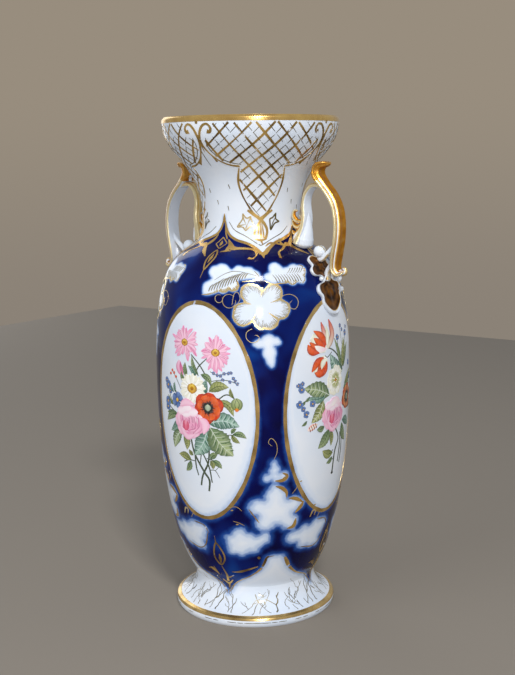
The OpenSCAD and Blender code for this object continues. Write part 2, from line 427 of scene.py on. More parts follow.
def grain(tree, size_mm, detail=2.0, rough=0.5, spread=0.0):
    """Soft noise between 0 and 1, about size_mm across."""
    return add(tree, "ShaderNodeTexNoise", {
        "Vector": coordinates(tree), "Scale": 1 / (size_mm * MM), "Detail": detail,
        "Roughness": rough, "Distortion": spread}).outputs["Fac"]


def blend(tree, share, first, second):
    """A colour mixed from first to second by a factor."""
    made = add(tree, "ShaderNodeMix", {0: share, 6: first, 7: second}, data_type="RGBA")
    return made.outputs[2]


def sum_of(tree, first, second, operation="ADD", clamp=False):
    """Arithmetic on two values."""
    return add(tree, "ShaderNodeMath", {0: first, 1: second}, operation=operation,
               use_clamp=clamp).outputs[0]


def span(tree, value, low, high, start=0.0, end=1.0):
    """Stretches a value from one range to another and holds it at the ends."""
    return add(tree, "ShaderNodeMapRange", {
        "Value": value, "From Min": low, "From Max": high, "To Min": start, "To Max": end},
        clamp=True).outputs["Result"]


def ripple(tree, shader, size_mm, depth_mm, height=None):
    """The slight waviness of a thick glaze."""
    made = add(tree, "ShaderNodeBump", {
        "Strength": 1.0, "Distance": depth_mm * MM,
        "Height": grain(tree, size_mm, 1.0) if height is None else height})
    tree.links.new(made.outputs["Normal"], shader.inputs["Normal"])


def stored(tree, name):
    """A value or colour stored on the mesh."""
    return add(tree, "ShaderNodeAttribute", attribute_name=name)


WHITE = tint("#e6ebf3")
BLUISH = tint("#dae4f2")
GOLD = tint("#f0c878")
PALE_GOLD = tint("#fbe8b8")


def white_glaze(tree):
    """Cool white body colour, a little bluer where the glaze lies thick."""
    return blend(tree, span(tree, grain(tree, 34, 2), 0.35, 0.7), WHITE, BLUISH)


def make_cobalt():
    """Porcelain with a cobalt ground: near black-blue where thick, blurred pale blue at its edge."""
    made, tree, shader = finish("cobalt_ground", roughness=0.1, ior=1.52, specular_ior_level=0.18)
    edge = stored(tree, "ground").outputs["Fac"]
    wander = span(tree, grain(tree, 5, 3), 0.0, 1.0, -0.9, 0.9)
    depth = sum_of(tree, edge, wander)
    cloud = span(tree, grain(tree, 38, 2, 0.5, 0.3), 0.3, 0.75)
    thick = ramp(tree, cloud, [(0.0, tint("#00002c")), (0.4, tint("#000444")),
                               (0.7, tint("#011a62")), (1.0, tint("#063e8c"))])
    soft = ramp(tree, span(tree, depth, -5.4, 2.6), [
        (0.0, WHITE), (0.34, tint("#dbe4f2")), (0.54, tint("#b8c9e4")), (0.66, tint("#7592c6")),
        (0.76, tint("#214c98")), (1.0, tint("#021c6a"))], "EASE")
    colour = blend(tree, span(tree, depth, 0.2, 2.8), soft, thick)
    colour = blend(tree, span(tree, depth, -5.6, -4.0), white_glaze(tree), colour)
    tree.links.new(colour, shader.inputs["Base Color"])
    ripple(tree, shader, 22, 0.06)
    return made


def make_gilding(name, bright, dark, wear, under, roughness=0.24):
    """Fired gold, rubbed thin in places so that the glaze under it shows."""
    made, tree, shader = finish(name, roughness=roughness)
    patches = grain(tree, 7, 4, 0.65, 0.6)
    tone = blend(tree, span(tree, grain(tree, 11, 3), 0.3, 0.7), bright, dark)
    worn = span(tree, patches, wear, wear + 0.05)
    tree.links.new(blend(tree, worn, tone, under), shader.inputs["Base Color"])
    tree.links.new(span(tree, worn, 0.0, 1.0, 0.82, 0.0), shader.inputs["Metallic"])
    ripple(tree, shader, 3, 0.015)
    return made


def make_part_gilt():
    """Porcelain moulding with gold laid over some of it, as the stored share says."""
    made, tree, shader = finish("part_gilt_porcelain", roughness=0.16, ior=1.52)
    share = stored(tree, "gilt").outputs["Fac"]
    laid = span(tree, sum_of(tree, share, span(tree, grain(tree, 4, 3), 0, 1, -0.16, 0.16)),
                0.44, 0.56)
    # 'deep' tones the gold from pale to near black-brown. Mostly this is the gold's own tone; where it
    # is darkest, in the sunk hearts of the leaves, it is painted shade.
    deep = sum_of(tree, stored(tree, "deep").outputs["Fac"],
                  span(tree, grain(tree, 5, 3), 0.25, 0.75, -0.12, 0.12))
    gold = ramp(tree, deep, [(0.0, PALE_GOLD), (0.25, GOLD), (0.5, tint("#d8901f")),
                             (0.7, tint("#a8691a")), (0.9, tint("#6d4218")), (1.0, tint("#3c220c"))])
    tree.links.new(blend(tree, laid, white_glaze(tree), gold), shader.inputs["Base Color"])
    tree.links.new(span(tree, laid, 0.0, 1.0, 0.0, 0.82), shader.inputs["Metallic"])
    tree.links.new(span(tree, laid, 0.0, 1.0, 0.12, 0.36), shader.inputs["Roughness"])
    ripple(tree, shader, 6, 0.05)
    return made


def make_enamel():
    """Flower painter's enamel: the brush's colours, softened, with a low gloss."""
    made, tree, shader = finish("flower_enamel", roughness=0.24, ior=1.5, specular_ior_level=0.25)
    paint = stored(tree, "paint").outputs["Color"]
    streak = span(tree, grain(tree, 1.6, 3), 0.35, 0.75, 0.0, 0.16)
    tree.links.new(blend(tree, streak, paint, blend(tree, 0.5, paint, WHITE)),
                   shader.inputs["Base Color"])
    return made


COBALT = make_cobalt()
GILDING = make_gilding("fired_gold", GOLD, tint("#d0a660"), 0.8, WHITE)
PALE_GILDING = make_gilding("pale_gold", PALE_GOLD, GOLD, 0.7, WHITE)
RUBBED = make_gilding("rubbed_gold", GOLD, tint("#6f5426"), 0.62, WHITE, 0.3)
BORDER_GOLD = make_gilding("border_gold", tint("#efcb86"), tint("#a98a52"), 0.66, tint("#b9c8e4"))
FADED = make_gilding("faded_gold", tint("#8e7d4a"), tint("#564c30"), 0.6, WHITE, 0.4)
SHADING = make_gilding("brushed_shading", tint("#a3987c"), tint("#6e664e"), 0.75, WHITE, 0.5)
PART_GILT = make_part_gilt()
ENAMEL = make_enamel()


# ---------------------------------------------------------------- foot, belly and neck

def body():
    """The three turned pieces, with their outer rows close enough to carry the cobalt's edge."""
    foot_line = rows(float(OUTER[0, 0]), FOOT_TOP, 1.0) + inside_rows("foot", 2.0)
    with_ground(turned("foot", foot_line, 300, "porcelain", COBALT, ["foot"]))
    belly_line = rows(FOOT_TOP, NECK_BASE, 1.5) + inside_rows("belly", 5.0)
    with_ground(turned("belly", belly_line, 380, "painted_porcelain", COBALT, ["belly"]))
    neck_line = rows(NECK_BASE, TOP, 1.0) + inside_rows("neck", 2.5)
    with_ground(turned("neck", neck_line, 300, "porcelain", COBALT, ["neck"]))


body()


# ---------------------------------------------------------------- brush strokes

def sheet():
    """An empty flat sheet, in mm, for strokes that carry their own colour."""
    bm = bmesh.new()
    bm.verts.layers.float_color.new("paint")
    return bm


def stroke(bm, spine, width, lift=0.14, paint=None, across=1, dome=0.0, soft=True, pace=1.2):
    """A brush stroke along a spine. width runs evenly from its start to its end."""
    line = smoothed(spine, 8) if soft and len(spine) > 2 else np.asarray(spine, float)
    far = np.concatenate([[0.0], np.cumsum(np.hypot(*np.diff(line, axis=0).T))])
    along = int(min(60, max(2, math.ceil(far[-1] / pace))))
    share = np.linspace(0, 1, along + 1)
    middle = np.column_stack([np.interp(share * far[-1], far, line[:, 0]),
                              np.interp(share * far[-1], far, line[:, 1])])
    ahead = np.gradient(middle, axis=0)
    ahead /= np.maximum(np.hypot(*ahead.T), 1e-9)[:, None]
    widths = np.broadcast_to(np.atleast_1d(np.asarray(width, float)), (max(1, np.size(width)),))
    half = 0.5 * np.interp(share, np.linspace(0, 1, len(widths)), widths) if len(widths) > 1 \
        else np.full(along + 1, 0.5 * widths[0])
    half = np.maximum(half, 0.06)
    layer = bm.verts.layers.float_color["paint"]
    made = bmesh.ops.create_grid(bm, x_segments=along, y_segments=across, size=1.0)["verts"]
    for vert in made:
        t, s = (vert.co.x + 1) / 2, vert.co.y
        at = round(t * along)
        u = middle[at][0] - ahead[at][1] * s * half[at]
        v = middle[at][1] + ahead[at][0] * s * half[at]
        vert.co = (u, v, lift + dome * (1 - s * s))
        if paint:
            vert[layer] = paint(t, s)


def hoop(bm, ring, width, inset=0.0, lift=0.14, sway=0.0):
    """A closed line of even width along a ring of points, moved inwards by inset."""
    count = len(ring)
    ahead = np.roll(ring, -1, axis=0) - np.roll(ring, 1, axis=0)
    ahead /= np.maximum(np.hypot(*ahead.T), 1e-9)[:, None]
    left = np.column_stack([-ahead[:, 1], ahead[:, 0]])
    area = np.sum(ring[:, 0] * np.roll(ring[:, 1], -1) - np.roll(ring[:, 0], -1) * ring[:, 1])
    left *= math.copysign(1.0, area)
    wobble = 1 + sway * np.sin(np.arange(count) * 0.9) * np.sin(np.arange(count) * 0.37)
    made = bmesh.ops.create_grid(bm, x_segments=count, y_segments=1, size=1.0)["verts"]
    for vert in made:
        at = round((vert.co.x + 1) / 2 * count) % count
        reach = inset + 0.5 * width * wobble[at] * vert.co.y
        vert.co = (*(ring[at] + left[at] * reach), lift)
    bmesh.ops.remove_doubles(bm, verts=made, dist=1e-4)


def laid(name, bm, middle, slot, material, centres=QUARTERS, node=(), stray=0.5):
    """Closes a flat sheet's strokes and lays a copy on the body round each centre."""
    base = bmesh.ops.extrude_face_region(bm, geom=bm.faces[:], use_keep_orig=True)["geom"]
    for part in base:
        if isinstance(part, bmesh.types.BMVert):
            part.co.z = -SUNK
    bmesh.ops.recalc_face_normals(bm, faces=bm.faces[:])
    pattern = bpy.data.meshes.new(name + "_flat")
    bm.to_mesh(pattern)
    bm.free()
    joined = bmesh.new()
    for _ in centres:
        joined.from_mesh(pattern)
    mesh = bpy.data.meshes.new(name)
    joined.to_mesh(mesh)
    joined.free()
    place = np.empty(len(mesh.vertices) * 3)
    mesh.vertices.foreach_get("co", place)
    place = place.reshape(len(centres), -1, 3)
    for index, centre in enumerate(centres):
        shift = rng.uniform(-stray, stray, 2) if index else np.zeros(2)
        place[index] = on_body(place[index] + [*shift, 0], centre + middle[0], middle[1])
    mesh.vertices.foreach_set("co", place.ravel())
    mesh.update()
    bpy.data.meshes.remove(pattern)
    return placed(name, mesh, slot, [material], node)


def carried(points, start, end):
    """Moves (right, up) points from one centre on the body to another."""
    points = np.asarray(points, float)
    climb = climb_at(start[1]) + points[:, 1]
    level = np.interp(climb, CLIMB, OUTLINE[:, 0])
    azimuth = start[0] + np.degrees(points[:, 0] / np.interp(climb, CLIMB, OUTLINE[:, 1]))
    return flat(np.column_stack([azimuth, level]), *end)


def mirrored(points):
    """The same points on the other side of the centre line."""
    return [(-u, v) for u, v in points]


def ring_points(u, v, radius, start=0, sweep=360, count=14, squash=1.0):
    """Points round an arc, in mm."""
    turns = np.radians(np.linspace(start, start + sweep, count))
    return [(u + radius * math.cos(t), v + squash * radius * math.sin(t)) for t in turns]


# ---------------------------------------------------------------- gilding of the borders

def medallion_borders():
    """The gold ovals, brushed by hand and so a little uneven."""
    bm = sheet()
    hoop(bm, medallion_ring(1.3, 150), 2.7, 0.0, 0.14, 0.14)
    laid("medallion_borders", bm, (0, MEDALLION_MID), "old_gilding", BORDER_GOLD, MEDALLIONS,
         ["medallion_gilding"], 0.0)


def shoulder_border():
    """Gold along the scalloped edge between neck and shoulder, with a thin line above it."""
    bm = sheet()
    edge = flat(ogee_quarter(), 45, 268)
    stroke(bm, edge, (0.8, 1.6, 2.0, 2.2, 2.6, 3.4, 2.6, 2.2, 2.0, 1.6, 0.8), 0.15, soft=False)
    tip = flat([(44, 258.8)], 45, 268)[0]
    stroke(bm, [(tip[0], tip[1] + 1.5), (tip[0], tip[1] - 4.2)], (4.4, 2.2, 0.3), 0.17)
    cusp = flat([(3, 283.5)], 45, 268)[0]
    stroke(bm, [(cusp[0] - 0.1, cusp[1] - 4.5), (cusp[0], cusp[1] + 1.6)], (2.6, 2.0, 0.4), 0.18)
    laid("shoulder_border", bm, (45, 268), "gilding", GILDING, stray=0.0)
    bm = sheet()
    above = [(9, 279.5), (16, 274), (30, 269.5), (43, 264.2), (45, 264.2), (57, 268), (70, 271.5),
             (80, 276)]
    stroke(bm, flat(above, 45, 268), (0.3, 0.55, 0.5, 0.7, 0.5, 0.55, 0.3), 0.12)
    laid("shoulder_line", bm, (45, 268), "old_gilding", FADED)


def shoulder_crests():
    """Strapwork hanging from each upward point of the shoulder: lozenge, oval and two arms."""
    bm = sheet()
    stroke(bm, [(2.6, 6), (3.6, 1.5), (5.4, -2.4)], (0.5, 1.2, 0.8), 0.15)
    lozenge = [(2, -1), (6.5, -5.5), (3, -11), (-2, -6.5)]
    for a, b in zip(lozenge, lozenge[1:] + lozenge[:1]):
        stroke(bm, [a, b], 0.8, 0.16)
    stroke(bm, [(2.2, -3.6), (2.2, -8.4)], (0.3, 2.6, 0.3), 0.15)
    oval = smoothed([(2.5, -12.5), (5, -16.5), (5.5, -21.5), (3.5, -27), (1, -31), (-0.5, -26),
                     (-0.5, -21), (0.5, -16.5)], 5, closed=True)
    hoop(bm, oval, 1.1, 0.3)
    stroke(bm, [(2.6, -16.5), (2.4, -21), (1.8, -25.5)], (0.3, 2.4, 0.3), 0.15)
    stroke(bm, [(1, -31), (0, -37)], (0.7, 0.4, 0.2), 0.14)
    stroke(bm, [(6.5, -2.5), (9.5, -6.5), (13, -10.4), (20.5, -10.5), (28, -12), (32.5, -17),
                (32, -21), (28.5, -20.5)], (0.6, 3.0, 4.0, 2.4, 2.0, 1.5, 1.2, 1.0, 1.7), 0.15)
    stroke(bm, [(9.5, -6), (9.8, -13.8)], (2.0, 3.0, 2.2), 0.16)
    stroke(bm, [(5.8, -14.6), (9.6, -13.4), (13.4, -13.2)], (0.4, 2.0, 0.4), 0.17)
    stroke(bm, [(-2.5, 1), (-6, -3.6), (-12, -8.5), (-17, -8), (-24, -6), (-30, -9)],
           (0.5, 2.2, 2.4, 1.8, 1.3, 0.5), 0.15)
    stroke(bm, [(-17, -8), (-16, -2.5)], (2.4, 0.3), 0.16)
    laid("shoulder_crests", bm, (0, 270), "gilding", GILDING)
    bm = sheet()
    stroke(bm, flat([(57, 256), (58, 259.5), (64, 261.5), (72, 264.5), (79, 260.5), (86, 257)],
                    68, 260), (1.8, 1.2, 1.8, 2.6, 2.6, 0.6), 0.15)
    laid("shoulder_arms", bm, (68, 260), "gilding", GILDING)


def thin_scrolls():
    """Thin pale gold curls in the cobalt beside and below the flower."""
    bm = sheet()
    thin = (0.25, 0.4, 0.46, 0.4, 0.25)
    stroke(bm, ring_points(-27, 5, 2.7, 60, 320), thin)
    stroke(bm, ring_points(-20, 3.5, 4.5, 40, 330, 18), thin)
    stroke(bm, [(-18, 1), (-16.5, 8), (-14, 9.5), (-12.5, 5), (-14.5, 1.5)], thin)
    stroke(bm, [(13.5, 5), (17.5, 7), (22, 7), (26, 4.5), (27, 1), (25, -2.5), (21.5, -2),
                (20.5, 1), (22.5, 3)], thin)
    stroke(bm, [(-5, -14.5), (-8.5, -16.5), (-9, -20.5), (-6, -23.5), (-2, -23), (-0.5, -20),
                (-3, -18.5)], thin)
    laid("thin_scrolls", bm, (39, 226), "gilding", PALE_GILDING, stray=1.2)
    bm = sheet()
    stroke(bm, [(-3, 38), (-1, 43), (-1.5, 49), (-5, 53), (-7, 50), (-4.5, 47.5)], thin)
    stroke(bm, [(10.5, 12), (14, 16.5), (13, 19.5)], thin)
    stroke(bm, [(-34, 3), (-28, 4), (-24, 1)], thin)
    stroke(bm, [(-30, -7), (-26, -8), (-22, -10)], thin)
    for u, v in ((17, 20), (-31, 1), (-27, -9.5), (30, 0)):
        stroke(bm, [(u - 0.9, v), (u + 0.9, v + 0.4)], (0.5, 1.1, 0.5))
    stroke(bm, [(26, -8.5), (28.5, -4), (31, -4.5), (30, -8)], (0.5, 1.3, 1.2, 0.4))
    stroke(bm, [(33, -10), (36, -6.5), (38, -8)], thin)
    laid("lower_scrolls", bm, (49, 85), "gilding", PALE_GILDING, stray=1.0)


def hatching(bm, ring, target, reach, width, step, skip=0.1, lift=0.13):
    """Fine strokes from a ring in towards a point."""
    for index in range(0, len(ring), step):
        if random.random() < skip:
            continue
        start = ring[index]
        inward = np.asarray(target, float) - start
        inward /= np.hypot(*inward)
        length = random.uniform(*reach)
        bend = np.array([-inward[1], inward[0]]) * random.uniform(-0.4, 0.4)
        stroke(bm, [start + inward * 0.6, start + inward * 0.5 * length + bend,
                    start + inward * length], (width, 0.7 * width, 0.1), lift, pace=2.0)


def petal_gilding():
    """Gold rims and shading strokes on the upper flower and its two leaves."""
    bm = sheet()
    flower = smoothed(FLOWER[1], 2, closed=True)
    hoop(bm, flower, 1.2, 0.55, 0.15, 0.4)
    hatching(bm, flower, (1, 0), (1.4, 2.6), 0.6, 1)
    for u, v in ((-5.5, -10.5), (2.2, 12.5), (-10.5, 3), (14.5, 4.5), (12, -8.5)):
        stroke(bm, [(u, v), (0.72 * u, 0.72 * v), (0.5 * u, 0.5 * v)], (1.6, 0.9, 0.2), 0.16)
    laid("flower_gilding", bm, FLOWER[0], "gilding", PALE_GILDING)
    bm = sheet()
    hatching(bm, flower, (1, 0), (3.0, 6.5), 0.26, 1, 0.1)
    laid("flower_hatching", bm, FLOWER[0], "old_gilding", SHADING)

    bm = sheet()
    left = smoothed(LEFT_LEAF[1], 2, closed=True)
    low = left[(left[:, 1] < -3) & (left[:, 0] > -37) & (left[:, 0] < -13)]
    hatching(bm, low[low[:, 0] > -35], (-24, 12), (1.6, 3.6), 1.0, 1, 0.05, 0.15)
    stroke(bm, [(-42, -11.8), (-37, -11.2), (-31.5, -9.6)], (0.3, 1.0, 0.5), 0.14)
    stroke(bm, [(-13, -2.2), (-7, -1.8), (-1, -1.0)], (0.5, 0.9, 0.3), 0.14)
    right = smoothed(RIGHT_LEAF[1], 1, closed=True)
    tip = right[(right[:, 0] > 28) | ((right[:, 1] < -3.6) & (right[:, 0] > 15))]
    hatching(bm, tip, (18, 6), (1.2, 2.8), 0.7, 1, 0.1, 0.15)
    stroke(bm, [(2, -2), (7, -4.3), (12.5, -4), (17, -4)], (0.4, 0.9, 0.8, 0.5), 0.14)
    laid("leaf_gilding", bm, LEFT_LEAF[0], "gilding", PALE_GILDING)

    bm = sheet()
    for step in range(14):
        u = -36.5 + step * 1.95
        foot = np.interp(u, (-37, -30, -23, -17, -11), (-9.4, -7.6, -5.2, -2.4, 0.0))
        tall = np.interp(u, (-37, -30, -18, -10), (4.5, 8.0, 7.0, 3.0)) * random.uniform(0.9, 1.08)
        stroke(bm, [(u, foot), (u + 0.28 * tall, foot + 0.6 * tall), (u + 0.75 * tall, foot + tall)],
               (0.5, 0.75, 0.6, 0.2), 0.16, pace=2.0)
    for step in range(10):
        u = 10.5 + step * 1.95
        stroke(bm, [(u, -3.2), (u - 1.2, -0.4), (u - 3.2, 2.2)], (0.6, 0.5, 0.15), 0.15, pace=2.0)
        if step > 3:
            stroke(bm, [(u + 2, 6.4), (u + 0.8, 4.2), (u - 0.8, 2.6)], (0.5, 0.4, 0.15), 0.15,
                   pace=2.0)
    stroke(bm, [(-32, -1.5), (-24, 3.2), (-17, 5.0), (-8, 3.2), (0, 0.4)], (0.2, 0.4, 0.3, 0.2), 0.12)
    stroke(bm, [(-4.5, 5), (-2.5, 2.5), (-1.2, 0.6)], (0.3, 0.6, 0.3), 0.12)
    laid("leaf_hatching", bm, LEFT_LEAF[0], "old_gilding", SHADING)


def lower_gilding():
    """What is left of the gold on the lower flower, the arch above the foot and the points."""
    bm = sheet()
    part = (0.5, 2.2, 2.8, 2.0, 0.5)
    for spine in (((-1.5, 18.6), (3, 17), (6.2, 13.6), (6.4, 9.8)), ((8, 9.0), (13.5, 8), (19.4, 4.4)),
                  ((19.8, 5.0), (17, 1), (13.3, -2.6)), ((14.2, -7), (12.6, -12.6), (7.6, -14)),
                  ((-2, 22.6), (3, 22.6), (6.5, 25.6), (3, 28))):
        stroke(bm, spine, part, 0.15)
    laid("star_rims", bm, STAR[0], "gilding", GILDING)
    bm = sheet()
    for spine in (((44, -19), (38.5, -29), (31, -33.2), (20, -31)), ((-12, -8), (-19.5, 2.5)),
                  ((34, -12), (42.5, -13.5), (45, -19))):
        stroke(bm, spine, (0.3, 0.9, 0.5, 0.9, 0.3), 0.14)
    laid("star_gilding", bm, STAR[0], "old_gilding", RUBBED)

    bm = sheet()
    hem = smoothed(HEM, 5)
    for start, end, width in ((9.5, 40, (0.4, 0.9, 0.6, 0.8, 1.6)), (40, 45, (1.6, 2.0, 1.2)),
                              (57, 62.5, (1.8, 3.0, 2.6)), (62.5, 98.5, (2.4, 1.2, 0.8, 1.0, 0.4))):
        span_here = hem[(hem[:, 0] >= start - 1e-6) & (hem[:, 0] <= end + 1e-6)]
        stroke(bm, flat(span_here, 54, 30) + [0, -0.4], width, 0.15, soft=False)
    stroke(bm, flat([(45, 50.3), (49, 50.8)], 54, 30), (0.3, 0.6, 0.2), 0.14)
    laid("hem_gilding", bm, (54, 30), "old_gilding", RUBBED)

    bm = sheet()
    flame = smoothed([(7, 60), (4, 53.5), (3.5, 47.5), (6.5, 42.5), (9.5, 42.5), (12.5, 47.5),
                      (11.5, 53.5)], 6, closed=True)
    hoop(bm, flat(flame, 8, 40), 1.2, 0.4)
    for spine, width in (
            (((8.2, 51), (8.3, 47), (8, 43.5)), (0.4, 2.6, 0.5)),
            (((7, 60), (6.8, 65)), (1.0, 0.2)),
            (((-6, 37), (-2, 37.5), (2.5, 34)), (0.4, 2.6, 0.8)),
            (((3, 33), (0, 39.5)), (0.5, 1.2, 0.3)),
            (((16, 37), (22, 37.5), (30, 40), (37, 42.5)), (0.4, 1.8, 1.4, 0.5)),
            (((8, 41), (10.5, 34), (10, 28)), (0.5, 1.4, 1.8)),
            (((10, 26), (10, 22.5)), (2.0, 0.6)),
            (((5, 29), (10, 26), (15, 29.5)), (0.6, 1.6, 0.6)),
            (((36.8, 49.5), (38.8, 50)), (1.2, 2.4, 1.2)),
            (((12, 31.5), (17, 34)), (1.0, 0.3))):
        stroke(bm, flat(spine, 8, 40), width, 0.15)
    laid("lower_crests", bm, (8, 40), "old_gilding", RUBBED, stray=0.8)


# ---------------------------------------------------------------- gilding of the mouth

# Half of the frame round the lattice, rising to a scroll, as (right, up) from (0, 345).
FRAME_HEAD = ((7.5, -5.5), (9.5, -6), (10.5, -3.5), (8.5, -1), (5.5, -1.2), (2.8, -4), (1, -8.5),
              (0.7, -13), (2.2, -19), (5.5, -25), (10, -29.5), (15, -32), (20.5, -33))
FRAME_FOOT = ((19.5, -34.5), (17.5, -39), (15.5, -46), (16.2, -54), (19.2, -61.5), (23, -67.6),
              (28, -71.4))
MOUTH = (45, 320)


def lattice_ring():
    """The space that the lattice fills, in mm from its middle."""
    head = [(11, 1.2), (11.5, -7), (4, -10.5)] + list(FRAME_HEAD[8:])
    left = carried(smoothed(head, 4), (0, 345), MOUTH)
    foot = carried(smoothed(FRAME_FOOT, 4), (0, 345), MOUTH)
    half = np.vstack([left, foot])
    return np.vstack([half, (half * [-1, 1])[::-1]])


def inside_runs(start, end, ring, margin):
    """The stretches of a straight line that lie inside a ring."""
    start, end = np.asarray(start, float), np.asarray(end, float)
    count = int(np.hypot(*(end - start)))
    line = start + (end - start) * np.linspace(0, 1, count)[:, None]
    kept = outside_of(line, ring) < -margin
    runs, run = [], []
    for point, good in zip(line, kept):
        if good:
            run.append(point)
        elif run:
            runs.append(run)
            run = []
    if run:
        runs.append(run)
    return [(r[0], r[-1]) for r in runs if len(r) > 2]


def lattice():
    """Crossed gold bars with fine dark lines between them, worn as if by dusting."""
    ring = lattice_ring()
    thick, fine = sheet(), sheet()
    gap = 11.2
    for slope, phase in ((-50, 2.0), (47, 4.5)):
        ahead = np.array([math.cos(math.radians(slope)), math.sin(math.radians(slope))])
        aside = np.array([-ahead[1], ahead[0]])
        for index in range(-12, 13):
            spot = aside * (index * gap / 2 + phase)
            for a, b in inside_runs(spot - 90 * ahead, spot + 90 * ahead, ring, 0.9):
                if index % 2 == 0:
                    width = [random.uniform(0.9, 1.9) for _ in range(6)]
                    stroke(thick, [a, b], width, 0.14 + 0.002 * index, pace=3.0)
                    continue
                dashes = max(1, int(np.hypot(*(b - a)) / 9))
                for dash in range(dashes):
                    low = (dash + random.uniform(0.0, 0.12)) / dashes
                    high = (dash + random.uniform(0.8, 0.98)) / dashes
                    if random.random() < 0.9:
                        stroke(fine, [a + (b - a) * low, a + (b - a) * high],
                               (0.3, 0.5, 0.3), 0.12, pace=3.0)
    laid("lattice_bars", thick, MOUTH, "old_gilding", RUBBED, stray=0.3)
    laid("lattice_lines", fine, MOUTH, "old_gilding", FADED, stray=0.3)


def mouth_frames():
    """Gold frames with paired scroll heads under the lip, running down to the tassels."""
    bm = sheet()
    for flip in (False, True):
        head = mirrored(FRAME_HEAD) if flip else FRAME_HEAD
        foot = mirrored(FRAME_FOOT) if flip else FRAME_FOOT
        stroke(bm, head, (2.8, 1.4, 1.8, 1.8, 1.4, 1.0, 1.0, 1.2, 1.6), 0.16 + 0.01 * flip)
        stroke(bm, foot, (0.8, 1.6, 1.2, 0.9, 1.5, 2.2), 0.16)
    stroke(bm, [(0, -8), (0, -14), (0.3, -21)], (0.5, 1.0, 0.3), 0.15)
    stroke(bm, [(-4.5, -24.5), (-9.5, -31)], (0.5, 3.2), 0.15)
    stroke(bm, [(4.5, -24.5), (6.5, -29)], (0.4, 1.6), 0.15)
    stroke(bm, [(-1, 0.5), (1, 0.5)], (1.6, 2.6, 1.6), 0.15)
    laid("mouth_frames", bm, (0, 345), "old_gilding", RUBBED, stray=0.2)
    bm = sheet()
    inner = [(5.5, -10), (4.5, -15), (6, -20.5), (9.5, -25.5), (15, -29.5), (22, -31.5)]
    for line in (inner, mirrored(inner)):
        stroke(bm, line, (0.3, 0.7, 0.5, 0.7, 0.3), 0.12)
    stroke(bm, [(-2.5, -17), (-1.5, -26), (0, -33)], (0.3, 0.6, 0.2), 0.12)
    for u, v in ((-9, -50), (8, -47), (-3, -58), (5, -62)):
        stroke(bm, [(u, v), (u + 0.5, v - 3)], (0.6, 0.3), 0.12)
    laid("mouth_lines", bm, (0, 345), "old_gilding", FADED, stray=0.2)


def tassels():
    """Two gold ribbons crossing into a striped tassel, with a small leaf on each side."""
    bm = sheet()
    stroke(bm, [(-8.6, 17.6), (-5, 15), (0, 11.4), (3.6, 7), (4.6, 2.6), (3.0, -2.4)],
           (1.4, 2.0, 2.4, 1.9, 1.6, 1.8), 0.22)
    stroke(bm, [(8.4, 17.4), (5, 14.8), (0.8, 11), (-2.2, 6.6), (-4.2, 1.8), (-3.6, -2.4)],
           (1.4, 1.4, 1.8, 1.3, 1.2, 1.8), 0.2)
    for u, wide in ((-1.9, 0.9), (0.1, 1.3), (2.0, 1.0)):
        stroke(bm, [(0.3 + 0.3 * u, 9.5), (0.15 + 0.8 * u, 4), (0.1 + u, -1.8)], (0.3, wide, wide), 0.2)
    stroke(bm, [(-4.4, -2.0), (-0.4, -3.2), (3.9, -2.2)], (0.8, 1.8, 0.8), 0.24)
    stroke(bm, [(-0.2, -3), (0.3, -5), (0.8, -7.4)], (1.8, 1.0, 0.2), 0.18)
    laid("tassels", bm, (45, 270), "gilding", GILDING)
    bm = sheet()
    trefoil = smoothed([(-6.4, 13.5), (-9.2, 12.4), (-11.8, 15.4), (-12.4, 11.4), (-16.0, 6.2),
                        (-12.2, 6.0), (-10, 3.6), (-7.4, 5.8), (-4.2, 7.6), (-5.6, 10.6)], 4,
                       closed=True)
    hoop(bm, trefoil, 0.9, 0.3)
    for a, b in (((-12, 14), (-9.8, 8)), ((-14.6, 7.2), (-10, 8)), ((-10, 5), (-8.6, 8.4)),
                 ((-6.6, 12.4), (-8.6, 8.4))):
        stroke(bm, [a, b], (0.9, 0.7, 0.2), 0.15)
    laid("tassel_leaves", bm, (45, 270), "gilding", PALE_GILDING)
    bm = sheet()
    small = smoothed([(6.6, 11.6), (8.6, 12.6), (11.4, 15.4), (11.4, 11.6), (14.0, 9.5), (10.4, 8.0),
                      (7.2, 3.8), (6.6, 8.2)], 4, closed=True)
    hoop(bm, small, 1.0, 0.3)
    stroke(bm, [(7.4, 5.2), (8.8, 8.6), (11.2, 13)], (0.3, 0.7, 0.2), 0.15)
    laid("neck_leaves", bm, (45, 270), "old_gilding", FADED)


# ---------------------------------------------------------------- lip and foot

def turned_bands():
    """Gold over the lip and round the toe of the foot, a brush's thickness above the glaze."""
    low = TOP - 3.9
    outer = [(r + 0.12, z) for r, z in rows(low, TOP - 0.25, 0.5)]
    inner = [(r, z) for r, z in inside_rows("neck", 0.6) if z > TOP - 2.4]
    crown = outer[-1][0]
    arch = [(crown + (inner[0][0] - crown) * t, TOP + 0.12) for t in (0.15, 0.5, 0.85)]
    core = [(inner[-1][0] + 0.8, inner[-1][1]), (outer[0][0] - 0.8, low)]
    turned("rim_gilding", outer + arch + [(r - 0.12, z) for r, z in inner] + core, 220, "gilding",
           GILDING, ["rim_gilding"])
    band = rows(4.9, 7.4, 0.5)
    line = [(r + 0.12, z + 0.02) for r, z in band]
    turned("foot_gilding", line + [(r - 0.5, z) for r, z in band[::-1]], 220, "old_gilding",
           BORDER_GOLD, ["foot_gilding"])
    bm = sheet()
    for azimuth in range(0, 360, 6):
        if random.random() < 0.75:
            reach = random.uniform(2.0, 3.4)
            stroke(bm, flat([(azimuth - reach, 3.4), (azimuth + reach, 3.4)], 180, 3.4),
                   (0.2, 0.45, 0.2), 0.12, pace=2.5)
    laid("foot_hairline", bm, (180, 3.4), "old_gilding", FADED, (0,))


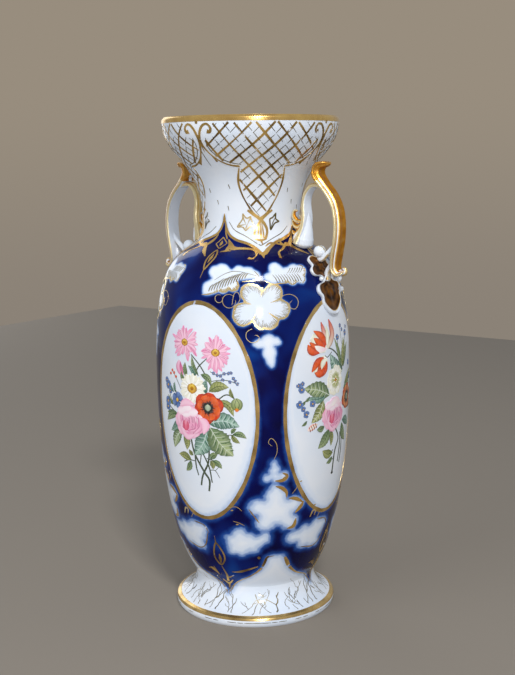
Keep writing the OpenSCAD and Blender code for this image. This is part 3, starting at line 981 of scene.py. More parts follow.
def foot_veins():
    """Fine branching brown-gold veins, brushed up the foot like marble."""
    bm = sheet()

    def vein(u, v, steps, lean, width):
        """One wandering vein, which may fork as it climbs."""
        path = [(u, v)]
        for _ in range(steps):
            u += lean + random.uniform(-1.5, 1.5)
            v += random.uniform(0.9, 2.8)
            path.append((u, v))
            if random.random() < 0.3 and steps > 3:
                vein(u, v, random.randint(2, 4), random.choice((-1.3, 1.3)), 0.8 * width)
        stroke(bm, path, (width, 0.7 * width, width, 0.5 * width), 0.1, soft=False, pace=0.8)

    for index in range(13):
        start = index * 6.3 + random.uniform(-2.5, 2.5)
        vein(start - 40, random.uniform(0.5, 3), random.randint(4, 9), random.uniform(-0.3, 1.0),
             random.choice((0.42, 0.55, 0.75)))
    laid("foot_veins", bm, (0, 7.5), "old_gilding", FADED, stray=0.0)


medallion_borders()
shoulder_border()
shoulder_crests()
thin_scrolls()
petal_gilding()
lower_gilding()
lattice()
mouth_frames()
tassels()
turned_bands()
foot_veins()


# ---------------------------------------------------------------- handles

# Half of a strap's section, from the middle of its outer face round to the middle of its inner
# face, as (sideways, outwards, share of gold, depth of the gold's tone), in mm.
SCROLL_SECTION = ((0, 1.45, 1, 0.5), (1.5, 1.6, 1, 0.5), (2.9, 2.1, 1, 0.5), (3.7, 2.05, 1, 0.5),
                  (4.2, 1.6, 1, 0.4), (4.5, 1.2, 0.9, 0.1), (4.7, 1.0, 0.1, 0), (4.9, 0.75, 0.1, 0),
                  (5.05, 0.35, 0.9, 0.6), (5.2, 0.0, 1, 0.3), (5.6, -0.2, 1, 0), (6.2, -0.6, 1, 0),
                  (6.35, -1.3, 1, 0), (6.0, -1.9, 0.9, 0), (5.2, -2.1, 0, 0), (2.6, -2.2, 0, 0),
                  (0, -2.25, 0, 0))
LOOP_SECTION = ((0, 1.5, 1, 0.2), (1.6, 1.6, 1, 0.2), (2.9, 2.1, 1, 0), (3.8, 2.1, 1, 0),
                (4.5, 1.5, 1, 0.3), (5.1, 1.1, 1, 0.1), (5.7, 0.8, 1, 0), (6.2, 0.0, 1, 0),
                (6.4, -0.9, 1, 0), (6.2, -1.5, 0.9, 0), (5.5, -2.0, 0, 0), (2.6, -2.2, 0, 0),
                (0, -2.25, 0, 0))
ROUND_SECTION = tuple((2 * math.sin(t), 2 * math.cos(t), 0.2 + 0.8 * (math.cos(t) > 0.3), 0.2)
                      for t in (0, 0.52, 1.05, 1.57, 2.09, 2.62, math.pi))
GILT_SECTION = tuple((side, out, 1.0, 0.5 * (out < 0)) for side, out, _, _ in ROUND_SECTION)


def moulding():
    """An empty bmesh for moulded porcelain, with its share of gold."""
    bm = bmesh.new()
    bm.verts.layers.float.new("gilt")
    bm.verts.layers.float.new("deep")
    return bm


def strap(bm, line, sizes, section, outward=1, gold=1.0, aside=0.0, pace=0.8, gilt_tip=0.0):
    """Sweeps a section along a line of (distance from the axis, height), closed at both ends."""
    line = smoothed(line, 10)
    far = np.concatenate([[0.0], np.cumsum(np.hypot(*np.diff(line, axis=0).T))])
    along = int(far[-1] / pace) + 6
    share = np.concatenate([[0], np.linspace(0, 1, along - 1), [1]])
    middle = np.column_stack([np.interp(share * far[-1], far, line[:, i]) for i in (0, 1)])
    ahead = np.gradient(middle[1:-1], axis=0)
    ahead = np.vstack([ahead[:1], ahead, ahead[-1:]])
    ahead /= np.hypot(*ahead.T)[:, None]
    size = np.interp(share, [s[0] for s in sizes], [s[1] for s in sizes])
    size[0] = size[-1] = 0.0
    size[1] *= 0.75
    size[-2] *= 0.75
    half = np.asarray(section, float)
    ring = np.vstack([half, (half * [-1, 1, 1, 1])[-2:0:-1]])
    ring = smoothed(ring, 2, closed=True)
    gilt, deep = bm.verts.layers.float["gilt"], bm.verts.layers.float["deep"]
    made = bmesh.ops.create_grid(bm, x_segments=along, y_segments=len(ring), size=1.0)["verts"]
    for vert in made:
        i = round((vert.co.x + 1) / 2 * along)
        side, out, share_gold, tone = ring[round((vert.co.y + 1) / 2 * len(ring)) % len(ring)]
        out *= outward * size[i]
        vert.co = Vector((middle[i][0] - ahead[i][1] * out, side * size[i] + aside,
                          middle[i][1] + ahead[i][0] * out)) * MM
        vert[gilt], vert[deep] = share_gold * gold, tone
        if share[i] < gilt_tip:
            vert[gilt], vert[deep] = 1.0, max(tone, 0.45)
    bmesh.ops.remove_doubles(bm, verts=made, dist=2e-6)


def ball(bm, place, radius, gold=0.0):
    """A small modelled ball, in mm."""
    gilt = bm.verts.layers.float["gilt"]
    made = bmesh.ops.create_uvsphere(bm, u_segments=24, v_segments=14, radius=radius * MM)["verts"]
    for vert in made:
        vert[gilt] = gold * (abs(vert.co.y + 0.3 * vert.co.z) < 0.16 * radius * MM)
        vert.co += Vector(place) * MM


def leaf_relief(bm, middle, ring, rise, gold_share, shift=(0.0, 0.0)):
    """A modelled leaf on the shoulder: a sunk gilt heart inside a rolled white edge."""
    ring = np.asarray(ring, float)
    count = len(ring)
    # Share of the way out, height, gold and depth of the gold's tone of each row, from the heart to
    # under the edge. The sunk heart's dark brown is the gold's own tone with painted shade of the
    # hollow over it.
    steps = ((0.0, 0.55, 1, 0.95), (0.22, 0.6, 1, 0.8), (0.42, 0.5, 1, 1), (0.6, 0.62, 1, 0.85),
             (gold_share - 0.03, 0.75, 1, 0.9), (gold_share, 0.85, 1, 0.1),
             (gold_share + 0.025, 0.92, 0, 0), (0.96, 0.92, 0, 0), (0.985, 0.75, 0, 0),
             (1.0, 0.4, 0, 0), (0.96, -0.2, 0, 0), (0.5, -0.25, 0, 0), (0.0, -0.25, 0, 0))
    gilt, deep = bm.verts.layers.float["gilt"], bm.verts.layers.float["deep"]
    made = bmesh.ops.create_grid(bm, x_segments=count, y_segments=len(steps) - 1, size=1.0)["verts"]
    spots = []
    for vert in made:
        i = round((vert.co.x + 1) / 2 * count) % count
        reach, height, gold, tone = steps[round((vert.co.y + 1) / 2 * (len(steps) - 1))]
        crease = 1 - 0.16 * math.cos(5 * math.tau * i / count) * (0.2 < reach < 0.95)
        spots.append((ring[i][0] * reach + shift[0] * (1 - reach),
                      ring[i][1] * reach + shift[1] * (1 - reach), rise * height * crease))
        vert[gilt], vert[deep] = gold, tone
    for vert, spot in zip(made, on_body(spots, *middle)):
        vert.co = spot
    bmesh.ops.remove_doubles(bm, verts=made, dist=2e-6)


def lobes(count, wide, tall, depth, turn=0.0, tip=0.0):
    """The outline of a lobed leaf, with an optional longer point at its foot."""
    points = []
    for index in range(72):
        a = math.tau * index / 72
        swell = 1 - depth * (0.5 - 0.5 * math.cos(count * (a + turn))) ** 1.5
        point = tip * max(0.0, math.cos(a + math.pi / 2)) ** 6
        points.append((wide * swell * math.cos(a), tall * (swell + point) * math.sin(a)))
    return points


SCROLL_LINE = ((64.5, 318), (57.5, 316.5), (56, 311), (60, 305), (66, 298), (70.5, 290),
               (72.5, 280), (72.3, 268), (70, 255), (69.5, 248), (72, 244.5), (76, 246))
LOOP_LINE = ((65, 299.5), (59, 303), (52, 303.4), (47, 298), (45.3, 291), (45.8, 283), (45, 276),
             (43, 270), (41, 264))


def handle(side, turn):
    """One handle of moulded straps, with its leaves, ball and buds, turned to its side."""
    pieces = {}
    for name in ("handle_scroll", "handle_loop", "handle_curl", "handle_terminal", "upper_leaf",
                 "lower_leaf", "berry", "buds"):
        pieces[name] = moulding()

    strap(pieces["handle_scroll"], SCROLL_LINE,
          ((0, 0.35), (0.03, 0.8), (0.08, 1.1), (0.16, 1.15), (0.25, 1.02), (0.8, 1.05),
           (0.95, 0.9), (1, 0.6)),
          SCROLL_SECTION, gilt_tip=0.19)
    strap(pieces["handle_scroll"], ((72, 246.5), (74.4, 244.4), (76.6, 245.4), (76.4, 247.6),
                                    (74.8, 248.2)),
          ((0, 0.8), (0.6, 0.72), (1, 0.6)), ROUND_SECTION, -1, 0.75)
    strap(pieces["handle_loop"], LOOP_LINE,
          ((0, 0.45), (0.12, 0.62), (0.3, 0.72), (0.6, 0.85), (0.78, 1.0), (0.9, 1.25), (1, 1.6)),
          LOOP_SECTION, -1)
    strap(pieces["handle_loop"], ((46.4, 288), (46.2, 280), (45, 273), (43.2, 267), (42, 261)),
          ((0, 0.3), (0.25, 1.3), (0.5, 2.4), (0.75, 3.6), (0.9, 3.7), (1, 2.4)), ROUND_SECTION, 1,
          0.0)

    curl = pieces["handle_curl"]
    strap(curl, ((71, 268), (68.5, 263.5), (65, 260), (61.5, 256.5), (58, 253.6), (54.5, 254)),
          ((0, 0.6), (0.4, 0.85), (1, 0.9)), ROUND_SECTION, 1, 0.5)
    strap(curl, ((70.5, 262), (68.5, 256), (65.5, 250), (62.5, 244.5), (62, 239)),
          ((0, 0.5), (0.5, 0.95), (1, 1.3)), ROUND_SECTION, 1, 0.5)
    strap(curl, ((71, 256), (68.5, 251), (67, 246), (66.5, 241)),
          ((0, 0.4), (0.5, 0.8), (1, 0.5)), ROUND_SECTION, 1, 0.45)

    end = pieces["handle_terminal"]
    strap(end, ((46.5, 284), (44, 278), (40, 275), (36.5, 276), (34.6, 279.5)),
          ((0, 0.7), (0.4, 1.3), (0.8, 0.9), (1, 0.4)), GILT_SECTION, 1, 1.0)
    strap(end, ((44.5, 276.5), (41, 271.5), (38, 270.8), (36.6, 272.6)),
          ((0, 0.6), (0.5, 1.0), (1, 0.4)), GILT_SECTION, 1, 1.0, -3.0)
    strap(end, ((43.5, 279), (39.5, 279.5), (37, 282.5), (37.6, 286), (40, 286.2)),
          ((0, 0.5), (0.4, 0.9), (0.8, 0.6), (1, 0.3)), GILT_SECTION, 1, 1.0, -2.0)
    strap(end, ((44.5, 277), (41, 272), (38.4, 270.5), (37, 272.2)),
          ((0, 0.6), (0.5, 1.0), (1, 0.4)), GILT_SECTION, 1, 1.0, 3.0)

    leaf_relief(pieces["upper_leaf"], (88, 248), lobes(5, 12.5, 10.5, 0.28, 0.3), 2.4, 0.91)
    leaf_relief(pieces["lower_leaf"], (90, 231.5), lobes(5, 14.5, 12, 0.2, 0.95, 0.5), 2.4, 0.85,
                (-1.5, 3.5))
    ball(pieces["berry"], (56.4, 0, 258.8), 4.3, 1.0)
    for azimuth, height, radius in ((101, 239, 3.0), (101, 232, 2.1), (82, 240.5, 1.5)):
        spot = on_body([(0, 0, 2.4)], azimuth, height)[0] / MM
        ball(pieces["buds"], tuple(spot), radius)
    for a in (0, 120, 240):
        ball(pieces["buds"], (54.0 + 1.1 * math.cos(math.radians(a)), 0.6 * math.sin(a),
                              308 + 1.3 * math.sin(math.radians(a))), 1.25)
    strap(pieces["buds"], ((57, 309.5), (55, 308.3), (53.8, 308)), ((0, 0.35), (1, 0.3)),
          ROUND_SECTION, 1, 0.0)

    for name, bm in pieces.items():
        bmesh.ops.rotate(bm, verts=bm.verts[:], cent=(0, 0, 0),
                         matrix=Matrix.Rotation(turn, 3, "Z"))
        bmesh.ops.recalc_face_normals(bm, faces=bm.faces[:])
        title = f"{side}_{name}"
        built(title, bm, "porcelain", [PART_GILT], [title])


handle("right", 0.0)
handle("left", math.pi)


# ---------------------------------------------------------------- painted bouquets

PINK = tint("#f6c9dd"), tint("#ea92ba"), tint("#c25488")
BLUSH = tint("#fbeaf2"), tint("#f4bcd6"), tint("#dd8cb4")
RED = tint("#ee6a28"), tint("#d8400c"), tint("#8a1e06")
LEAF = tint("#b4c08c"), tint("#68855a"), tint("#36502f")
BLUE_LEAF = tint("#a8c6b4"), tint("#5a8574"), tint("#30564a")
OLIVE = tint("#c2c382"), tint("#84904c"), tint("#4a5426")
BLUE = tint("#7896c8"), tint("#345494"), tint("#1d315e")
CREAM = tint("#fdfcf6"), tint("#efecd8"), tint("#cfcdb0")
YELLOW = tint("#f0d058"), tint("#d2981c"), tint("#83480c")
STEM = tint("#465639")
DARK = tint("#221d18")
LENS = (0.06, 0.5, 0.82, 0.98, 1.0, 0.9, 0.68, 0.38, 0.05)
ROUNDED = (0.1, 0.62, 0.86, 0.97, 1.0, 0.97, 0.86, 0.62, 0.1)
PETAL = (0.35, 0.55, 0.8, 0.98, 1.0, 0.9, 0.3)


def dab(bm, spine, width, tones, layer, across=4, pace=0.97, ridge=0.0):
    """One enamel stroke, shaded from its base to its tip and from its middle to its edges."""
    base, tip, edge = tones

    def paint(t, s):
        """Colour along (t) and across (s) the dab, deeper at its edges."""
        colour = mixed(mixed(base, tip, t), edge, min(1.0, abs(s) ** 2.5 * 0.75))
        return mixed(colour, edge, ridge) if s < 0 else colour

    lift = 0.07 + 0.03 * layer + 0.0004 * (len(bm.faces) % 60)
    stroke(bm, spine, width, lift, paint, across, 0.04, pace=pace)


def scaled(shape, width):
    """A width profile at its real width."""
    return [width * share for share in shape]


def spot(bm, at, radius, tones, layer, squash=1.0):
    """A round touch of colour."""
    u, v = at
    dab(bm, [(u, v - radius * squash), (u, v + radius * squash)], scaled(ROUNDED, 2 * radius),
        tones, layer, 6, max(0.3, 0.3 * radius))


def leaf(bm, base, tip, width, tones, layer=2, bend=0.12):
    """A leaf with a light and a dark half, toothed edges, a midrib and side veins."""
    base, tip = np.asarray(base, float), np.asarray(tip, float)
    ahead = tip - base
    length = np.hypot(*ahead)
    aside = np.array([-ahead[1], ahead[0]]) / length
    middle = base + 0.5 * ahead + aside * bend * length
    teeth = [w * (1.0 + 0.07 * (-1) ** i) for i, w in enumerate(np.interp(
        np.linspace(0, 8, 17), range(9), scaled(LENS, width)))]
    dab(bm, [base, middle, tip], teeth, (tones[1], tones[0], tones[2]), layer, 6, 0.7, 0.35)
    broad = width > 8
    vein = mixed(tones[0], WHITE, 0.45) if broad else tones[2]
    dab(bm, [base, middle, tip], (0.6, 0.45, 0.15), (vein,) * 3, layer + 2, 1)
    spine = smoothed([base, middle, tip], 10)

    def rib(index, side, share, widths, colour, rise):
        """A side vein that leaves the spine towards the leaf's edge."""
        start = spine[index]
        reach = share * np.interp(index, np.linspace(0, 20, 9), scaled(LENS, width))
        end = start + side * aside * reach + 0.55 * reach * ahead / length
        dab(bm, [start, 0.5 * (start + end) + 0.06 * reach * ahead / length, end], widths,
            (colour,) * 3, layer + rise, 1, 1.0)

    for index in range(3, 16, 3):
        for side in (-1, 1):
            rib(index, side, 0.42, (0.4, 0.3, 0.1) if broad else (0.28, 0.22, 0.1), vein, 2)
            if broad:
                rib(index + 1, side, 0.4, (0.3, 1.0, 0.3), mixed(tones[1], tones[2], 0.6), 1)


def daisy(bm, at, reach, count, tones, layer, eye=2.6, wide=0.42, ragged=0.12):
    """Rayed petals round a yellow eye. reach is (right, up)."""
    at = np.asarray(at, float)
    for ring in (0, 1):
        for index in range(count):
            turn = math.tau * (index + 0.5 * ring + random.uniform(-0.3, 0.3)) / count
            ray = np.array([reach[0] * math.cos(turn), reach[1] * math.sin(turn)])
            ray *= random.uniform(1 - ragged, 1 + 0.5 * ragged) * (1.0 - 0.12 * ring)
            aside = np.array([-ray[1], ray[0]]) * random.uniform(-0.1, 0.1)
            width = wide * min(reach) * random.uniform(0.8, 1.15)
            dab(bm, [at + 0.15 * ray, at + 0.6 * ray + aside, at + ray], scaled(PETAL, width),
                (tones[0], tones[1], tones[1]) if ring == 0 else (tones[0], tones[0], tones[2]),
                layer + ring)
            dab(bm, [at + 0.35 * ray, at + 0.7 * ray + aside, at + 0.97 * ray], (0.1, 0.4, 0.2),
                (tones[2],) * 3, layer + ring + 1, 1)
    spot(bm, at, eye, (YELLOW[1], YELLOW[0], YELLOW[2]), layer + 3, 0.85)
    for index in range(14):
        turn = math.tau * index / 14 + random.uniform(-0.2, 0.2)
        edge = at + np.array([math.cos(turn), 0.85 * math.sin(turn)]) * eye * 0.85
        spot(bm, edge, 0.42, (YELLOW[2], YELLOW[1], YELLOW[2]), layer + 4)
    spot(bm, at, 0.4 * eye, (YELLOW[2], YELLOW[1], YELLOW[2]), layer + 4, 0.85)


def poppy(bm, at, reach, layer, tones=RED):
    """Broad crumpled petals round a black ring and a green pod."""
    at = np.asarray(at, float)
    for ring, length in ((0, 1.0), (1, 0.82)):
        for index in range(6):
            turn = math.tau * (index + 0.5 * ring) / 6 + 0.3
            ray = np.array([math.cos(turn), math.sin(turn)]) * reach * length
            ray *= random.uniform(0.9, 1.08)
            dab(bm, [at, at + 0.5 * ray, at + ray],
                scaled((0.15, 0.5, 0.8, 1.0, 1.02, 0.85, 0.35), 0.95 * reach),
                (tones[2], tones[0 if ring else 1], tones[1 if ring else 2]), layer + ring, 6)
    for index in range(9):
        turn = math.tau * index / 9 + random.uniform(-0.25, 0.25)
        ray = np.array([math.cos(turn), math.sin(turn)]) * reach * random.uniform(0.6, 0.85)
        dab(bm, [at + 0.3 * ray, at + ray], (0.9, 0.5, 0.1), (tones[2],) * 3, layer + 2, 1)
    for index in range(30):
        turn = math.tau * index / 30
        ray = np.array([math.cos(turn), math.sin(turn)]) * random.uniform(3.6, 5.8)
        dab(bm, [at + 0.25 * ray, at + ray], (1.1, 0.9, 0.3), (DARK,) * 3, layer + 3, 1)
        spot(bm, at + 0.92 * ray, 0.4, (DARK,) * 3, layer + 3)
    spot(bm, at, 2.3, (tint("#9dac90"), tint("#c0caae"), tint("#5d6a52")), layer + 4)
    for turn in (0, 60, 120):
        ray = np.array([math.cos(math.radians(turn)), math.sin(math.radians(turn))]) * 1.6
        dab(bm, [at - ray, at + ray], 0.25, (DARK,) * 3, layer + 5, 1)


def rose(bm, at, size, layer):
    """Cupped petals folding round a red heart, palest at the top."""
    at = np.asarray(at, float)
    skirt = ((-1.0, -0.05, 0.85), (-0.75, -0.6, 0.8), (-0.2, -0.9, 0.85), (0.45, -0.75, 0.9),
             (0.95, -0.25, 0.85), (0.85, 0.3, 0.8), (0.3, 0.72, 0.85), (-0.45, 0.65, 0.85))
    for u, v, wide in skirt:
        tip = at + np.array([u, v]) * size
        dab(bm, [at, at + 0.6 * (tip - at), tip], scaled((0.3, 0.7, 0.95, 1, 0.9, 0.45),
                                                         wide * size),
            (PINK[2], BLUSH[0] if v > 0.2 else PINK[0], PINK[1]), layer, 6)
    spot(bm, at + np.array([-0.1, 0.0]) * size, 0.66 * size, (PINK[1], PINK[0], PINK[1]),
         layer + 1)
    # Folded petals, as (start, middle, end, width, how deep the pink is).
    folds = (((-0.62, -0.3), (-0.72, 0.25), (-0.2, 0.62), 0.30, 0),
             ((-0.3, 0.6), (0.25, 0.66), (0.6, 0.25), 0.34, 0),
             ((0.62, 0.3), (0.72, -0.2), (0.3, -0.62), 0.30, 1),
             ((0.35, -0.62), (-0.15, -0.8), (-0.6, -0.35), 0.32, 0),
             ((-0.5, -0.1), (-0.5, 0.3), (-0.05, 0.45), 0.24, 1),
             ((-0.1, 0.42), (0.35, 0.4), (0.45, 0.0), 0.24, 0),
             ((0.45, 0.05), (0.45, -0.35), (0.05, -0.5), 0.2, 1),
             ((-0.45, 0.0), (-0.5, -0.4), (-0.05, -0.55), 0.2, 0))
    for a, b, c, wide, deep in folds:
        line = [at + np.array(p) * size for p in (a, b, c)]
        dab(bm, line, scaled(LENS, wide * size),
            (PINK[deep], PINK[0], PINK[deep + 1]), layer + 3, 4)
        dab(bm, [p - 0.05 * size * np.sign(p - at) for p in line], (0.2, 0.45, 0.2),
            (PINK[2],) * 3, layer + 4, 1)
    for u, v, wide in ((-0.5, 0.5, 0.46), (-0.1, 0.66, 0.5), (0.3, 0.5, 0.44), (-0.15, 0.34, 0.3)):
        middle = at + np.array([u, v]) * size
        across = np.array([0.3, 0.06]) * size
        dab(bm, [middle - across, middle, middle + across], scaled(ROUNDED, wide * size),
            (BLUSH[0], BLUSH[0], BLUSH[1]), layer + 5, 6)
    heart = tint("#e0567a"), tint("#ee8ea6"), tint("#c03058")
    spot(bm, at + np.array([-0.22, -0.22]) * size, 0.22 * size, heart, layer + 5, 1.3)
    for shift in (-0.1, 0.0, 0.1):
        dab(bm, [at + np.array([-0.22 + shift, -0.02]) * size,
                 at + np.array([-0.24 + shift, -0.42]) * size], (0.2, 0.6, 0.2), (heart[2],) * 3,
            layer + 6, 1)
    for shift in (0.0, 0.07):
        dab(bm, [at + np.array(p) * size for p in (
            (-0.3 + shift, -0.2), (-0.2 + shift, 0.08), (0.02, 0.05 - shift))],
            scaled(LENS, 0.1 * size), (PINK[0], PINK[1], PINK[2]), layer + 5, 2)


def little_blue(bm, at, radius, layer, tones=BLUE):
    """A small five-petalled flower with an orange eye."""
    for index in range(5):
        turn = math.tau * index / 5 + random.uniform(-0.2, 0.6)
        ray = np.array([math.cos(turn), math.sin(turn)]) * radius
        dab(bm, [np.asarray(at) + 0.1 * ray, np.asarray(at) + ray],
            scaled(PETAL, 0.95 * radius), (tones[1], tones[0], tones[2]), layer, 4, 0.6)
    spot(bm, at, 0.25 * radius, (YELLOW[1], YELLOW[0], YELLOW[2]), layer + 2)


def stems(bm, lines, layer=0, tones=(STEM, STEM, DARK)):
    """Stalks, as (points, width)."""
    for line, width in lines:
        dab(bm, line, width, tones, layer, 2)


def front_bouquet():
    """Daisies, poppy, rose and small flowers tied by nothing but their crossing stalks."""
    bm = sheet()
    stems(bm, (
        (((-4, 40), (4, 32), (11.5, 20)), (0.7, 0.9, 0.8)),
        (((9, 38.5), (3, 33), (0.5, 29.5), (-1, 24)), (0.6, 0.8, 0.7)),
        (((-6, -19), (-3.5, -29), (3.5, -41), (7, -46.5), (6, -54.5)), (1.2, 1.4, 1.5, 1.3)),
        (((-3.5, -28), (-3, -38), (-1.5, -44)), (0.9, 1.1, 0.8)),
        (((8.5, -24), (7, -34), (2, -43.5), (0, -51)), (1.0, 1.3, 1.2)),
        (((3, -27), (7.5, -37), (9, -48)), (0.9, 1.1, 0.8)),
        (((2, -28), (0.5, -35)), (0.8, 0.6)),
        (((12, 6), (17.5, 11.5), (22.5, 14.5), (27, 12.5), (29, 10)), (0.9, 0.8, 0.7)),
        (((11, 29.5), (16, 27.5), (24, 29)), 0.45), (((12, 23), (17.5, 24), (24, 24), (30, 22)), 0.45),
        (((8, -39), (12, -39), (15, -44)), (0.5, 0.4, 0.3)), (((12, -39), (14.5, -36.5)), 0.35),
        (((19, -14), (25, -13), (31, -14)), 0.5), (((-4, -34), (-9, -34), (-14, -36)), 0.6),
        (((6, -31), (10, -31.5), (13, -33)), 0.6)))
    leaf(bm, (9, -6), (30.5, -7), 11.5, BLUE_LEAF, 3, 0.14)
    leaf(bm, (10, -9), (25.5, -27.5), 16.5, LEAF, 4, -0.06)
    leaf(bm, (8, -10), (-3.5, -29.5), 13.5, BLUE_LEAF, 2, 0.08)
    leaf(bm, (-18, -3), (-32, -9.5), 6, LEAF, 2, -0.12)
    leaf(bm, (-17, -6), (-27, -16), 6, BLUE_LEAF, 1)
    leaf(bm, (-15, -14), (-24, -27.5), 8.5, LEAF, 2, -0.1)
    leaf(bm, (-12, -15), (-10.5, -27), 6, OLIVE, 1, 0.1)
    leaf(bm, (10, 16), (24, 19.5), 7, OLIVE, 2, 0.15)
    leaf(bm, (8, 14), (8, 24), 4.5, BLUE_LEAF, 1)
    leaf(bm, (16, 10), (27, 0), 5, OLIVE, 1, 0.2)
    leaf(bm, (-8, 24), (-9.5, 34), 4, LEAF, 1, 0.1)
    leaf(bm, (-1, 25), (-6.5, 32), 4, BLUE_LEAF, 1, -0.15)
    leaf(bm, (2, 26), (-3.5, 39), 3.2, LEAF, 1, 0.1)
    leaf(bm, (4, 27), (12, 21), 4.5, LEAF, 1, 0.15)
    leaf(bm, (27.5, 12), (25, 19), 2.6, OLIVE, 1)
    leaf(bm, (26, -12.5), (35, -15), 4, LEAF, 2, 0.15)
    leaf(bm, (25, -13), (30.5, -18.5), 3.4, OLIVE, 2, -0.1)
    leaf(bm, (25, -12), (28.5, -8.5), 2.6, LEAF, 2)
    leaf(bm, (-7, -34), (-19, -31.5), 5.5, OLIVE, 2, -0.1)
    leaf(bm, (-7.5, -34.5), (-12.5, -42.5), 4.6, LEAF, 2, 0.1)
    leaf(bm, (-5, -30), (-8.5, -26.5), 3, OLIVE, 1)
    leaf(bm, (9, -31), (14.5, -27), 4.4, LEAF, 2)
    leaf(bm, (9, -32), (10.5, -38), 4, OLIVE, 2)
    leaf(bm, (10.5, -32), (17, -37), 4.2, LEAF, 2, 0.1)
    daisy(bm, (-9.8, 47.6), (12.5, 11.5), 18, PINK, 3, 3.0, 0.22, 0.26)
    daisy(bm, (15, 42.4), (10.5, 12.5), 18, PINK, 3, 3.2, 0.22, 0.26)
    dab(bm, [(-15.5, 35), (-15, 29.5), (-11.5, 24)], scaled(LENS, 6.5), (PINK[0], PINK[1], PINK[2]),
        3)
    dab(bm, [(-14, 34), (-13.5, 29), (-11.5, 25)], scaled(LENS, 2.2), (PINK[2], PINK[1], PINK[2]),
        5)
    leaf(bm, (-10, 20), (-13, 28), 3.2, LEAF, 5)
    for u, v in ((-23, 27), (-19, 23), (-21, 25.5), (-25, 24.5)):
        spot(bm, (u, v), 1.0, (RED[1], RED[0], RED[2]), 3)
    stems(bm, ((((-23, 27), (-18, 21), (-14, 15)), 0.4),))
    for u, v, radius in ((-28.5, 16, 3.4), (-30.5, 19, 2.4), (-18, 7, 5.8), (-29.5, 4.5, 3.4),
                         (-30, 0.5, 3.0), (-26, 12, 2.0)):
        little_blue(bm, (u, v), radius, 3)
    for line in (((-28, 14), (-26, 8), (-21, 2)), ((-29, 3), (-25, 0), (-20, -2)),
                 ((-22, 18), (-19.5, 13), (-15, 9))):
        stems(bm, ((line, 0.5),), 1)
    leaf(bm, (-22, 12), (-26.5, 17.5), 2.6, BLUE_LEAF, 2)
    leaf(bm, (-23, 3), (-29, 9), 2.8, OLIVE, 2)
    leaf(bm, (-20, 12), (-20.5, 19), 2.6, BLUE_LEAF, 2)
    leaf(bm, (-24, -1), (-31, -3.5), 3.4, LEAF, 2)
    for u, v in ((16.2, 27.4), (18.5, 27), (24, 29), (25.7, 29.3), (27.3, 25.6), (21, 28.6),
                 (30, 22), (20, 24.4), (25, 23.2), (13.5, 28.6), (28.5, 24)):
        little_blue(bm, (u, v), 1.3, 3)
    daisy(bm, (-3.4, 16.8), (10.8, 10.2), 22, CREAM, 6, 4.2, 0.3, 0.08)
    poppy(bm, (9, 4.8), 10.8, 9)
    rose(bm, (-7, -6.5), 13.5, 9)
    dab(bm, [(2, -3), (6.5, -7), (5, -14)], scaled(LENS, 6.5), (PINK[0], PINK[0], PINK[1]), 15, 6)
    dab(bm, [(-15, 3.5), (-9, 6.8), (-1.5, 5.5)], scaled(LENS, 5), (PINK[0], PINK[0], PINK[1]), 15, 6)
    spot(bm, (29.3, 8), 4.0, (OLIVE[1], LEAF[0], LEAF[2]), 4, 1.1)
    spot(bm, (29.3, 4.4), 1.3, (RED[0], YELLOW[1], RED[1]), 6)
    stems(bm, ((((29.3, 12), (28, 8), (28.8, 4.5)), 0.35), (((29.3, 12), (31, 8), (29.8, 4.5)), 0.35)),
          6)
    laid("front_bouquets", bm, (0, MEDALLION_MID), "painted_porcelain", ENAMEL,
         (MEDALLIONS[0], MEDALLIONS[2]), (), 0.8)


def tulip(bm, base, tip, width, layer, cream_side):
    """A flamed tulip: a cream cup with red petals over it."""
    base, tip = np.asarray(base, float), np.asarray(tip, float)
    ahead = tip - base
    aside = np.array([-ahead[1], ahead[0]]) / np.hypot(*ahead)
    dab(bm, [base, base + 0.5 * ahead, base + 0.95 * ahead], scaled((0.4, 0.9, 1, 0.85, 0.4), width),
        (CREAM[0], CREAM[1], CREAM[2]), layer, 6)
    for side, reach in ((-1, 1.0), (1, 0.92), (0, 0.85)):
        if side == cream_side:
            continue
        mid = base + 0.5 * ahead + aside * side * 0.38 * width
        dab(bm, [base + 0.12 * ahead + aside * side * 0.16 * width, mid,
                 base + reach * ahead + aside * side * 0.34 * width],
            scaled((0.3, 0.8, 1.0, 0.9, 0.6, 0.1), 0.46 * width), (RED[1], RED[0], RED[2]),
            layer + 2, 4)


